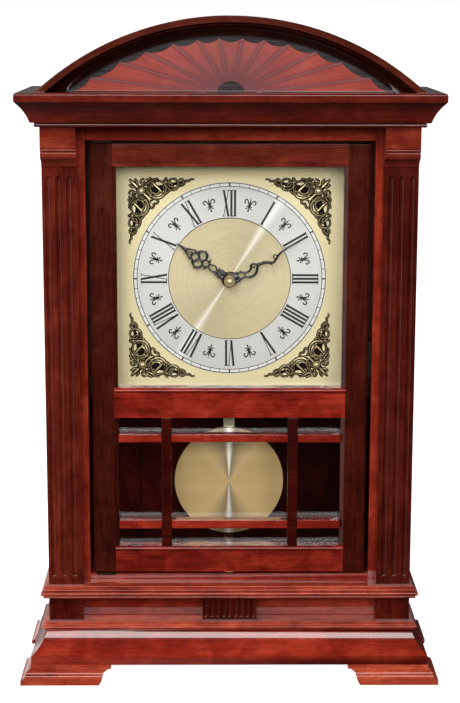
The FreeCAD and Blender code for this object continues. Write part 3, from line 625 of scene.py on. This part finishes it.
def finish_case():
    """Materials of the wooden case: each board's grain, tone with painted light and shade, seed, and
    what differs in its look.
    """
    def board(name, grain, tone_and_lighting, seed, *nodes, **look):
        dress(mahogany("wood_" + name, grain, tone_and_lighting, seed, **look), *nodes)

    round_base = grain_round(CASE_HALF, PILASTER_FACE, BASE_MIDDLE)
    arch = grain_arch(ARCH_CENTRE, ARCH_RADIUS)
    frame_grain = grain_frame(FRAME_INNER)
    # Each board's tone was set to how bright it looks under these lights, so it holds painted light and
    # shade as well as the wood's own tone: the door's rails are lighter than its stiles partly as
    # painted light, and the feet, base cap and waist are lightened with painted highlights.
    board("feet", round_base, 2.2, 1.0, "bracket_feet", brown=2.0)
    board("base", round_base, 1.4, 2.0, "base_mouldings", figure=0.9, brown=1.1)
    board("base_cap", grain_x, 2.3, 3.0, "base_cap_board", brown=2.0)
    board("plinth", grain_x, 1.2, 4.0, "plinth_boards", brown=1.4, coat=0.6)
    board("blocks", grain_z, 0.34, 5.0, "plinth_blocks")
    board("waist", grain_x, 1.8, 6.0, "waist_board", brown=1.7)
    board("side_right", grain_z, 0.7, 7.0, "side_panel_right", shade=side_shade)
    board("side_left", grain_z, 0.7, 8.0, "side_panel_left", shade=side_shade)
    board("frame", frame_grain, 1.45, 9.0, "face_frame", brown=1.3)
    # Painted light: the left pilaster is a lighter copy of the right one, as if lit from the left.
    board("pilaster_right", grain_z, 0.36, 10.0, "pilaster_right", brown=1.3)
    board("pilaster_left", grain_z, 0.56, 11.0, "pilaster_left", brown=1.5)
    board("capitals", grain_x, 0.9, 12.0, "capitals", brown=1.6)
    board("top", grain_x, 0.62, 13.0, "top_board", brown=1.7)
    board("cornice", round_base, 0.5, 14.0, "cornice_mouldings", brown=1.2, shade=cove_shade)
    board("arch", arch, 0.36, 15.0, "arch_moulding", brown=2.0, shade=arch_shade)
    board("cover", arch, 0.3, 23.0, "arched_cover", brown=1.6)
    board("stile_left", grain_z, 0.29, 16.0, "door_stile_left", brown=1.8)
    board("stile_right", grain_z, 0.27, 17.0, "door_stile_right", brown=1.5)
    board("top_rail", grain_x, 0.85, 18.0, "door_top_rail", figure=0.8, brown=1.9)
    board("mid_rail", grain_x, 1.25, 19.0, "door_mid_rail", figure=1.4)
    board("bottom_rail", grain_x, 0.95, 20.0, "door_bottom_rail", figure=1.4)
    board("muntins", grain_x, 1.2, 21.0, "door_muntins", shade=bar_shade)
    board("beads", grain_x, 0.3, 22.0, "glazing_beads")
    board("back", grain_z, 0.6, 24.0, "back_panel", "back_door", figure=1.8, coat=0.0,
          shade=inner_shade)
    dress(veneer("fan_veneer_shaded"), "fan_blades")
    dress(ebonised("black_veneer_gloss"), "tympanum_panel", "fan_hub")
    dress(pale_board("brown_board"), "pediment_back", "dial_board")
    ease(0.35, "bracket_feet", "base_mouldings", "base_cap_board", "plinth_boards", "waist_board",
         "side_panel_right", "side_panel_left", "face_frame", "capitals", "top_board",
         "arch_moulding", "arched_cover", "door_stile_left", "door_stile_right",
         "door_top_rail", "door_mid_rail", "door_bottom_rail")
    ease(0.7, "cornice_mouldings", segments=3)
    ease(0.3, "door_muntins", "pilaster_right", "pilaster_left", "plinth_blocks", "back_door")


def finish_metal_and_plastic():
    """Brass, steel, plastic, the dial's metals and the glass."""
    dress(brass("brass_polished", 0.1), "fixing_nut")
    dress(brass("stud_brass", 0.3, (0.86, 0.70, 0.40), metallic=0.7), "spandrel_screws", "cap_nut")
    dress(brass("brass_worn", 0.22), "back_door_pins", "centre_arbor", "rating_nut")
    # Painted shade: the hinge leaves are near black, as dark as the shaded gap beside the door.
    hinge_shade_black = paint("hinge_painted_shade", (0.020, 0.010, 0.007), 0.6, shine=0.05)
    dress(hinge_shade_black, "frame_hinge_leaves", "door_hinge_leaves")
    dress(brass("steel_plated", 0.25, (0.62, 0.60, 0.56)), "door_strike_plate")
    dress(brass("rod_strip", 0.3, (0.74, 0.66, 0.50)), "pendulum_rod")
    dress(satin_gold("dial_plate_gold"), "dial_plate")
    dial = (DIAL_X, DIAL_Z)
    # Painted highlight on the chapter ring: a pale streak at the dial's lean, with faint painted wedges
    # of shade beside it.
    dress(spun("ring_silver", dial, (0.74, 0.735, 0.705), 0.1, 0.38, 0.5, contrast=0.05,
               painted_streak=((1.0, 1.0, 0.98), DIAL_PAINTED_STREAK, 6.0, 30.0, 0.06, 0.1)), "chapter_ring")
    bob_low, bob_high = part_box("pendulum_bob")
    bob = ((bob_low.x + bob_high.x) / 2, (bob_low.z + bob_high.z) / 2)
    # Painted highlight on the bob: an upright bright streak, with deep painted wedges of shade beside
    # it.
    dress(spun("bob_brass", bob, (0.74, 0.52, 0.23), 0.15, 0.36, 0.8, 0.25, 5200.0, 0.04,
               ((1.0, 0.98, 0.86), 0.0, 8.0, 36.0, 0.6, 0.8)), "pendulum_bob")
    black = paint("black_moulded", (0.014, 0.014, 0.015), 0.5, 0.2)
    dress(black, "movement_case", "movement_cover", "pendulum_drive", "speaker", "magnetic_catch")
    ivory = paint("ivory_moulded", (0.55, 0.52, 0.45), 0.42, 0.06)
    dress(ivory, "motion_wheel", "hour_wheel")
    grey = paint("grey_moulded", (0.06, 0.06, 0.065), 0.4, 0.15)
    dress(grey, "setting_knob", "chime_switch", "volume_knob", "motor_module")
    dress(paint("board_green_mask", (0.01, 0.09, 0.03), 0.35, 0.25, 600.0, 0.3), "circuit_board")
    dress(paint("cell_wrap", (0.05, 0.06, 0.20), 0.3, 0.15, 500.0, 0.4), "batteries")
    dress(glass("pane_clear"), "door_glass")


# ---- dial ----------------------------------------------------------------------------------

TRACK_OUTER = 64.9
TRACK_INNER = 62.6
CENTRE_LINE = 40.7
CENTRE_EDGE = CENTRE_LINE + 0.4
CENTRE_HOLE = 4.3
NUMERAL_FOOT = 42.4
NUMERAL_TOP = 60.1
THICK = 1.45
THIN = 0.5
LETTER = {"I": 2.45, "V": 4.5, "X": 4.7}
NUMERALS = ("XII", "I", "II", "III", "IIII", "V", "VI", "VII", "VIII", "IX", "X", "XI")
FLEUR_RADIUS = 51.4


def turned(points, angle, radius=0.0):
    """Points in (right, out) at a clock angle in degrees, moved out by a radius."""
    a = math.radians(angle)
    return [(u * math.cos(a) + (v + radius) * math.sin(a),
             (v + radius) * math.cos(a) - u * math.sin(a)) for u, v in points]


def draw_numeral(ink, text, angle):
    """Roman numeral with its foot towards the dial's middle."""
    low, high = NUMERAL_FOOT, NUMERAL_TOP

    def line(start, end, width):
        ink.stroke(turned([start, end], angle), width)

    left = -sum(LETTER[c] for c in text) / 2
    for letter in text:
        right = left + LETTER[letter]
        middle = (left + right) / 2
        if letter == "I":
            line((middle, low), (middle, high), THICK)
            for v in (low + THIN / 2, high - THIN / 2):
                line((left, v), (right, v), THIN)
        elif letter == "V":
            line((left + 0.7, high), (middle, low), THICK)
            line((right - 0.6, high), (middle, low), THIN)
            for u in (left + 0.7, right - 0.6):
                line((u - 0.9, high - THIN / 2), (u + 0.9, high - THIN / 2), THIN)
        else:
            line((left + 0.8, high), (right - 0.8, low), THICK)
            line((right - 0.7, high), (left + 0.7, low), THIN)
            for u in (left + 0.8, right - 0.8):
                for v in (low + THIN / 2, high - THIN / 2):
                    line((u - 0.8, v), (u + 0.8, v), THIN)
        left = right


def draw_fleur(ink, angle):
    """Lily ornament that marks a half hour."""
    def curve(points, widths):
        line = smooth_line(points, 4)
        ink.stroke(turned(line, angle, FLEUR_RADIUS), taper(len(line), *widths))

    curve([(0, -0.8), (0, 1.8), (0, 5.0)], (0.7, 1.2, 0.2))
    for side in (-1, 1):
        curve([(0.3 * side, -0.6), (0.9 * side, 1.2), (1.7 * side, 3.0), (2.9 * side, 3.6),
               (3.8 * side, 2.6), (3.5 * side, 1.4), (2.7 * side, 1.3)], (0.6, 0.9, 0.7))
        curve([(0.2 * side, -0.9), (1.0 * side, -1.9), (2.1 * side, -2.5)], (0.5, 0.6, 1.0))
    curve([(-1.9, -0.8), (0, -0.6), (1.9, -0.8)], (0.5, 0.9, 0.5))
    curve([(0, -0.9), (0, -2.6), (0, -4.4)], (0.6, 0.8, 1.1))


def dial_face():
    """The print on the chapter ring, the white minute band and the brushed centre."""
    middle = (DIAL_X, DIAL_Z)
    band = Relief(middle, RING_FACE + 0.02 * MM, FOIL * 0.5)
    band.circle((TRACK_OUTER + TRACK_INNER) / 2, TRACK_OUTER - TRACK_INNER, steps=180)
    white = paint("enamel_white", (0.86, 0.86, 0.83), 0.35, 0.03)
    band.finish("minute_band", white, "case", "dial_silver")

    ink = Relief(middle, RING_FACE + 0.02 * MM, FOIL * 0.5 + INK)
    ink.circle(TRACK_OUTER, 0.5, steps=180)
    ink.circle(TRACK_INNER, 0.45, steps=180)
    ink.circle(CENTRE_LINE + 0.7, 0.45, steps=140)
    for minute in range(60):
        width = 1.0 if minute % 5 == 0 else 0.35
        ink.stroke(turned([(0, TRACK_INNER), (0, TRACK_OUTER)], minute * 6), width)
    for hour, text in enumerate(NUMERALS):
        draw_numeral(ink, text, hour * 30)
        draw_fleur(ink, hour * 30 + 15)
    black = paint("ink_black", (0.012, 0.012, 0.013), 0.45, 0.15)
    ink.finish("dial_print", black, "case", "hand_black", smooth=False)

    centre = Relief(middle, PLATE_FACE + 0.02 * MM, FOIL)
    centre.circle((CENTRE_EDGE + CENTRE_HOLE) / 2, CENTRE_EDGE - CENTRE_HOLE, steps=140)
    # Painted highlight on the brushed centre: a pale streak at the dial's lean, with painted wedges of
    # shade beside it.
    gold = spun("centre_gold", middle, (0.69, 0.59, 0.355), 0.1, 0.4, 0.5, pitch=700.0,
                contrast=0.08, painted_streak=((1.0, 0.96, 0.80), DIAL_PAINTED_STREAK, 7.0, 50.0, 0.12, 0.1))
    centre.finish("dial_centre", gold, "case", "dial_gold")


# ---- spandrels -----------------------------------------------------------------------------

CORNER = 68.0
GROUND_MARGIN = 0.85
GILT_SHARE = 0.58


def scrollwork():
    """Half of one corner ornament: its strokes in (along, in) from its own corner.

    The other half is the same with the two swapped.
    """
    return [
        # the great C scroll and the leaf inside it
        (spiral((19.2, 7.2), 6.3, 6.0, 215, -60), (0.7, 1.7, 0.9)),
        (spiral((19.0, 7.4), 6.0, 2.2, -60, -330), (0.9, 1.2, 1.5)),
        (smooth_line([(16.0, 2.8), (18.2, 5.2), (21.4, 8.2), (22.8, 10.2)]), (0.8, 2.4, 0.6)),
        (smooth_line([(13.2, 5.4), (15.2, 8.4), (15.0, 11.6), (13.0, 13.0)]), (0.7, 1.3, 0.7)),
        # the leg: two smaller scrolls, a leaf and a wavy tail
        (spiral((29.6, 3.8), 4.3, 3.6, 190, -90), (0.8, 1.4, 0.8)),
        (spiral((29.4, 4.0), 3.6, 1.2, -90, -300), (0.8, 1.1, 1.2)),
        (smooth_line([(24.6, 1.2), (27.0, 2.2), (29.4, 4.6), (30.2, 7.0)]), (0.5, 1.3, 0.5)),
        (spiral((35.4, 2.0), 2.5, 1.0, 200, -160), (0.7, 1.1, 0.9)),
        (smooth_line([(37.4, 3.2), (39.0, 1.6), (40.6, 2.0), (42.2, 0.6), (44.4, 0.9)]),
         (1.0, 0.8, 0.3)),
        # small scrolls along the outer edge
        (spiral((9.9, 2.4), 1.9, 0.8, 300, -40), (0.7, 1.0, 0.8)),
        (smooth_line([(11.6, 0.5), (13.4, 1.2), (14.6, 0.2), (15.6, 0.6)]), (0.6, 1.2, 0.6)),
        (smooth_line([(11.0, 5.2), (12.4, 3.4), (14.6, 2.6), (17.0, 0.9), (20.4, 0.4)]),
         (0.7, 1.3, 0.7)),
        (smooth_line([(23.6, 2.6), (25.0, 0.4), (26.4, 0.2)]), (0.6, 1.0, 0.4)),
        # leaves at the very corner
        (smooth_line([(6.4, 6.2), (3.8, 3.6), (0.6, 0.8)]), (1.2, 2.0, 0.5)),
        (smooth_line([(6.0, 4.6), (5.6, 2.4), (4.2, 0.3)]), (0.8, 1.5, 0.4)),
        (smooth_line([(4.4, 3.2), (2.6, 3.0), (1.4, 2.4)]), (0.6, 1.0, 0.4)),
        # the inner leaf towards the chapter ring
        (smooth_line([(10.4, 10.6), (13.4, 13.2), (16.6, 14.8)]), (1.4, 2.2, 0.5)),
        (spiral((18.6, 15.4), 1.9, 0.8, 150, -140), (0.6, 1.0, 0.8)),
        (smooth_line([(15.4, 14.6), (18.2, 13.6), (20.6, 13.6)]), (0.5, 1.1, 0.4)),
        # small scrolls and leaves that fill the gaps
        (spiral((24.8, 5.9), 1.6, 0.6, 60, 400), (0.6, 0.9, 0.7)),
        (spiral((12.9, 9.2), 1.5, 0.6, 20, -330), (0.6, 0.9, 0.7)),
        (smooth_line([(22.8, 11.4), (25.4, 10.2), (27.6, 8.2), (30.4, 7.6)]), (0.5, 1.2, 0.4)),
        (smooth_line([(9.6, 4.4), (10.4, 7.0), (12.4, 7.4)]), (0.6, 1.2, 0.5)),
        (smooth_line([(33.2, 5.2), (35.6, 5.0), (38.2, 3.6)]), (0.5, 1.0, 0.4)),
        (smooth_line([(2.6, 7.6), (4.4, 9.6), (7.4, 9.8)]), (0.5, 1.2, 0.5)),
    ]


GROUND_LINE = ((4.0, 4.0), (9.0, 7.5), (15.0, 8.6), (21.0, 7.0), (28.0, 4.6), (36.0, 2.4))


def spandrel_ornaments():
    """Cast corner ornaments: a black ground that shows round raised gilt scrolls."""
    ground = Relief((DIAL_X, DIAL_Z), PLATE_FACE, 0.35 * MM)
    gilt = Relief((DIAL_X, DIAL_Z), PLATE_FACE - 0.2 * MM, 0.6 * MM)
    for quarter in range(4):
        for line, widths in scrollwork():
            for swap in (False, True):
                points = [(CORNER - (b if swap else a), CORNER - (a if swap else b))
                          for a, b in line]
                points = turned(points, quarter * 90)
                plain = taper(len(points), *widths)
                ground.stroke(points, [w + GROUND_MARGIN for w in plain])
                gilt.stroke(points, [w * GILT_SHARE for w in plain], CROWNED)
        for swap in (False, True):
            points = smooth_line(GROUND_LINE)
            points = [(CORNER - (b if swap else a), CORNER - (a if swap else b))
                      for a, b in points]
            ground.stroke(turned(points, quarter * 90), taper(len(points), 2.4, 5.6, 0.8))
    black = paint("spandrel_black", (0.010, 0.008, 0.006), 0.6, 0.3, 900.0, shine=0.1)
    gold = brass("spandrel_gilt", 0.3, (0.90, 0.72, 0.38), 1800.0, 0.8)
    back = ground.finish("spandrel_grounds", black, "case", "spandrel_black_gold", smooth=False)
    gilt.finish("spandrel_scrolls", gold, "case", "spandrel_black_gold")
    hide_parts("spandrels")


# ---- hands ---------------------------------------------------------------------------------

def hand_relief(node):
    """Room for a hand where the CAD has its plain one."""
    low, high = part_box(node)
    return Relief((DIAL_X, DIAL_Z), high.y, high.y - low.y)


def hand_strokes(relief, strokes, angle):
    for points, widths in strokes:
        line = smooth_line(points, 5)
        relief.stroke(turned(line, angle), taper(len(line), *widths), CROWNED)


def boss(relief, radius, hole):
    """The round plate that a hand is held by."""
    relief.circle((radius + hole) / 2, radius - hole, steps=40)


def hour_hand(black):
    """Pierced hour hand: a neck, four round openings, and a pierced point."""
    hand = hand_relief("hour_hand")
    boss(hand, 4.6, 3.1)
    for s, t, radius in ((-3.3, 24.0, 3.0), (3.3, 24.0, 3.0), (-0.3, 28.0, 2.9), (0, 19.6, 2.3)):
        hand.circle(radius, 1.3, turned([(s, t)], HOUR_ANGLE)[0], CROWNED, 32)
    both = [
        ([(1.4, 4.2), (2.4, 7.0), (2.0, 9.4), (3.0, 10.8)], (2.2, 1.6, 0.5)),
        ([(1.0, 4.4), (1.4, 8.0), (0.7, 11.6)], (2.4, 2.2, 1.2)),
        ([(0.6, 11.0), (2.1, 13.0), (1.6, 15.6), (0.7, 17.2)], (1.1, 1.1, 1.1)),
        ([(1.6, 17.6), (3.4, 18.2), (4.6, 18.6)], (1.2, 1.0, 0.4)),
        ([(2.4, 21.0), (4.8, 22.2), (6.0, 24.0), (7.9, 24.6)], (1.0, 1.3, 0.4)),
        ([(5.8, 24.0), (5.2, 27.0), (3.0, 29.0), (4.2, 31.2)], (1.0, 1.3, 0.4)),
        ([(2.4, 28.8), (3.0, 31.0), (2.0, 33.6), (0.9, 36.2)], (1.2, 1.1, 1.1)),
        ([(0.5, 29.6), (0.8, 31.8), (0.6, 34.6)], (0.7, 0.8, 0.6)),
    ]
    strokes = [([(0, 34.4), (0, 38.6), (0, 43.4)], (2.2, 2.0, 0.5))]
    for side in (-1, 1):
        strokes += [([(side * s, t) for s, t in points], widths) for points, widths in both]
    hand_strokes(hand, strokes, HOUR_ANGLE)
    piece = hand.finish("hour_hand_pierced", black, "hour_wheel", "hand_black")
    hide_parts("hour_hand")


def minute_hand(black):
    """Pierced minute hand that winds from side to side along its length."""
    hand = hand_relief("minute_hand")
    boss(hand, 4.2, 2.0)
    strokes = [
        ([(-2.4, 3.4), (-2.2, 6.0), (-1.6, 8.4), (-2.4, 10.2)], (2.0, 1.3, 0.6)),
        ([(2.4, 3.4), (2.8, 6.0), (2.6, 8.6), (2.9, 10.8)], (2.0, 1.3, 1.2)),
        ([(0.0, 3.6), (0.2, 5.4), (0.4, 7.0)], (4.2, 3.4, 2.0)),
        ([(-1.6, 8.8), (0.6, 10.8), (2.8, 10.6)], (1.0, 1.0, 1.0)),
        ([(2.6, 9.8), (4.1, 12.4), (4.9, 15.2), (3.9, 18.4), (1.4, 20.6), (0.1, 22.2)],
         (1.0, 1.5, 1.4)),
        ([(3.9, 12.6), (5.6, 12.6)], (1.0, 0.8, 0.4)),
        ([(4.6, 14.4), (6.0, 15.0)], (1.0, 0.8, 0.4)),
        ([(-1.6, 9.0), (0.4, 11.6), (0.9, 14.2), (0.0, 16.4), (-1.8, 17.4), (-2.2, 19.2),
          (-0.9, 20.9), (0.2, 22.2)], (1.3, 1.2, 1.3)),
        ([(-1.9, 18.0), (-0.6, 17.9), (0.3, 18.9), (-0.3, 19.8)], (0.8, 0.8, 0.6)),
        ([(0.0, 21.6), (0.4, 24.5), (1.4, 27.6), (3.1, 30.2), (3.7, 32.2), (2.6, 34.4),
          (1.3, 37.0), (0.4, 40.0)], (1.7, 1.4, 1.2)),
        ([(2.8, 29.6), (5.0, 30.2)], (1.2, 0.9, 0.4)),
        ([(0.5, 39.6), (0.1, 44.0), (0.0, 52.0), (0.0, 60.0)], (1.2, 1.0, 0.5)),
    ]
    strokes = [(line, [w * 1.25 for w in widths]) for line, widths in strokes]
    hand_strokes(hand, strokes, MINUTE_ANGLE)
    hand.circle(1.2, 0.8, turned([(0.9, 34.6)], MINUTE_ANGLE)[0], CROWNED, 24)
    piece = hand.finish("minute_hand_pierced", black, "minute_arbor", "hand_black")
    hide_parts("minute_hand")


# ---- fan lines -----------------------------------------------------------------------------

def fan_strings():
    """Fine dark lines along the joints of the fan's veneers."""
    lines = Relief((0.0, FAN_FOOT), BLADE_FACE + 0.02 * MM, 0.1 * MM)
    for tip_x, tip_z in FAN_TIPS:
        for side in (-1, 1):
            tip = Vector((side * tip_x, tip_z - FAN_FOOT)) / MM
            start = tip.normalized() * (FAN_HUB_RADIUS / MM + 0.1)
            lines.stroke([tuple(start), tuple(tip - tip.normalized() * 0.4)], (0.35, 0.8))
    dark = paint("string_dark", (0.09, 0.022, 0.022), 0.4, 0.25, 800.0, 0.4)
    lines.finish("fan_strings", dark, "case", "black_veneer", smooth=False)


# ---- stage, light and camera ---------------------------------------------------------------

CAMERA_PLACE = (-0.0118, -1.1636, 0.4462)
CAMERA_PITCH = 11.1
CAMERA_YAW = 0.6
CAMERA_ROLL = 0.13
CAMERA_LENS = 89.1
FLOOR_REACH = 80.0
FLOOR_GLOW = 0.88


def camera():
    """Stands in front, near the height of the clock's top, and looks a little down."""
    data = bpy.data.cameras.new("camera")
    data.lens = CAMERA_LENS
    data.sensor_width = 36.0
    eye = bpy.data.objects.new("camera", data)
    bpy.context.scene.collection.objects.link(eye)
    pitch, yaw = math.radians(CAMERA_PITCH), math.radians(CAMERA_YAW)
    ahead = Vector((math.sin(yaw) * math.cos(pitch), math.cos(yaw) * math.cos(pitch),
                    -math.sin(pitch)))
    eye.location = CAMERA_PLACE
    eye.rotation_euler = ahead.to_track_quat("-Z", "Y").to_euler()
    eye.rotation_euler.rotate_axis("Z", math.radians(CAMERA_ROLL))
    bpy.context.scene.camera = eye


def plane(name, x0, x1, y0, y1, z, material):
    mesh = bmesh.new()
    corners = [mesh.verts.new(p) for p in ((x0, y0, z), (x1, y0, z), (x1, y1, z), (x0, y1, z))]
    mesh.faces.new(corners)
    data = bpy.data.meshes.new(name)
    mesh.to_mesh(data)
    mesh.free()
    data.materials.append(material)
    floor = bpy.data.objects.new(name, data)
    bpy.context.scene.collection.objects.link(floor)
    return floor


def stage():
    """A glowing white floor that neither lights the clock nor shows in its lacquer."""
    pale = paint("pale_floor", (0.86, 0.86, 0.86), 0.9, 0.01)
    shader = pale.node_tree.nodes["Principled BSDF"]
    shader.inputs["Emission Color"].default_value = (1.0, 1.0, 1.0, 1.0)
    shader.inputs["Emission Strength"].default_value = FLOOR_GLOW
    floor = plane("floor", -FLOOR_REACH, FLOOR_REACH, -FLOOR_REACH, FLOOR_REACH, 0.0, pale)
    floor.visible_glossy = False
    floor.visible_diffuse = False


def area_light(name, place, target, width, height, power, glossy=True):
    data = bpy.data.lights.new(name, "AREA")
    data.shape = "RECTANGLE"
    data.size = width
    data.size_y = height
    data.energy = power
    lamp = bpy.data.objects.new(name, data)
    bpy.context.scene.collection.objects.link(lamp)
    lamp.location = place
    lamp.rotation_euler = (Vector(target) - Vector(place)).to_track_quat("-Z", "Y").to_euler()
    lamp.visible_glossy = glossy


def surroundings():
    """A dim room with a bright band in front, and pale walls on the left, behind and low left.

    Each part is a product of steps between two levels along one axis of the direction looked in.
    """
    world = bpy.data.worlds.new("surroundings")
    bpy.context.scene.world = world
    world.use_nodes = True
    nodes, links = world.node_tree.nodes, world.node_tree.links
    back = nodes["Background"]
    where = nodes.new("ShaderNodeTexCoord")
    split = nodes.new("ShaderNodeSeparateXYZ")
    links.new(where.outputs["Generated"], split.inputs[0])

    def step(axis, low, high, to_low, to_high):
        level = nodes.new("ShaderNodeMapRange")
        level.interpolation_type = "SMOOTHSTEP"
        for name, value in (("From Min", low), ("From Max", high), ("To Min", to_low),
                            ("To Max", to_high)):
            level.inputs[name].default_value = value
        links.new(split.outputs[axis], level.inputs["Value"])
        return level.outputs[0]

    def combine(operation, a, b):
        node = nodes.new("ShaderNodeMath")
        node.operation = operation
        for socket, value in zip(node.inputs, (a, b)):
            if isinstance(value, float):
                socket.default_value = value
            else:
                links.new(value, socket)
        return node.outputs[0]

    def product(*levels):
        total = levels[0]
        for level in levels[1:]:
            total = combine("MULTIPLY", total, level)
        return total

    band = product(step("Y", -0.55, -0.15, 1.0, 0.0), step("Z", 0.02, 0.30, 0.0, 1.4),
                   step("Z", 0.45, 0.62, 1.0, 0.0), step("X", 0.25, 0.9, 1.0, 0.3))
    low_left = step("X", -0.34, -0.18, 1.0, 0.0)
    rising = product(step("Z", 0.05, 0.30, 0.10, 0.5), step("X", 0.08, 0.22, 1.0, 0.05))
    behind = product(step("Y", 0.15, 0.6, 0.0, 1.0), combine("ADD", low_left, rising))
    left = product(step("X", -0.9, -0.4, 0.8, 0.0), step("Z", -0.5, -0.1, 0.3, 1.0))
    below = product(step("Z", -0.9, -0.5, 0.35, 0.0), step("X", -0.7, 0.1, 1.0, 0.1))
    total = combine("ADD", combine("ADD", band, behind), combine("ADD", left, below))
    total = combine("ADD", total, 0.012)
    path = nodes.new("ShaderNodeLightPath")
    seen = combine("MAXIMUM", total, path.outputs["Is Camera Ray"])
    links.new(seen, back.inputs["Strength"])
    back.inputs["Color"].default_value = (1.0, 1.0, 1.0, 1.0)


def lights():
    """A long strip that shows in the lacquer, and a high fill light that doesn't."""
    surroundings()
    area_light("strip", (0.08, -1.45, 0.68), (0.0, 0.0, 0.2), 1.2, 0.42, 14.0)
    area_light("fill", (-0.4, -1.1, 1.3), (0.0, 0.0, 0.2), 0.7, 0.7, 20.0, glossy=False)


finish_case()
finish_metal_and_plastic()
dial_face()
spandrel_ornaments()
hand_black = paint("hand_lacquer", (0.010, 0.010, 0.011), 0.25, 0.2, 1200.0, 0.5)
hour_hand(hand_black)
minute_hand(hand_black)
fan_strings()
stage()
lights()
camera()
bpy.context.scene.view_settings.view_transform = "Standard"
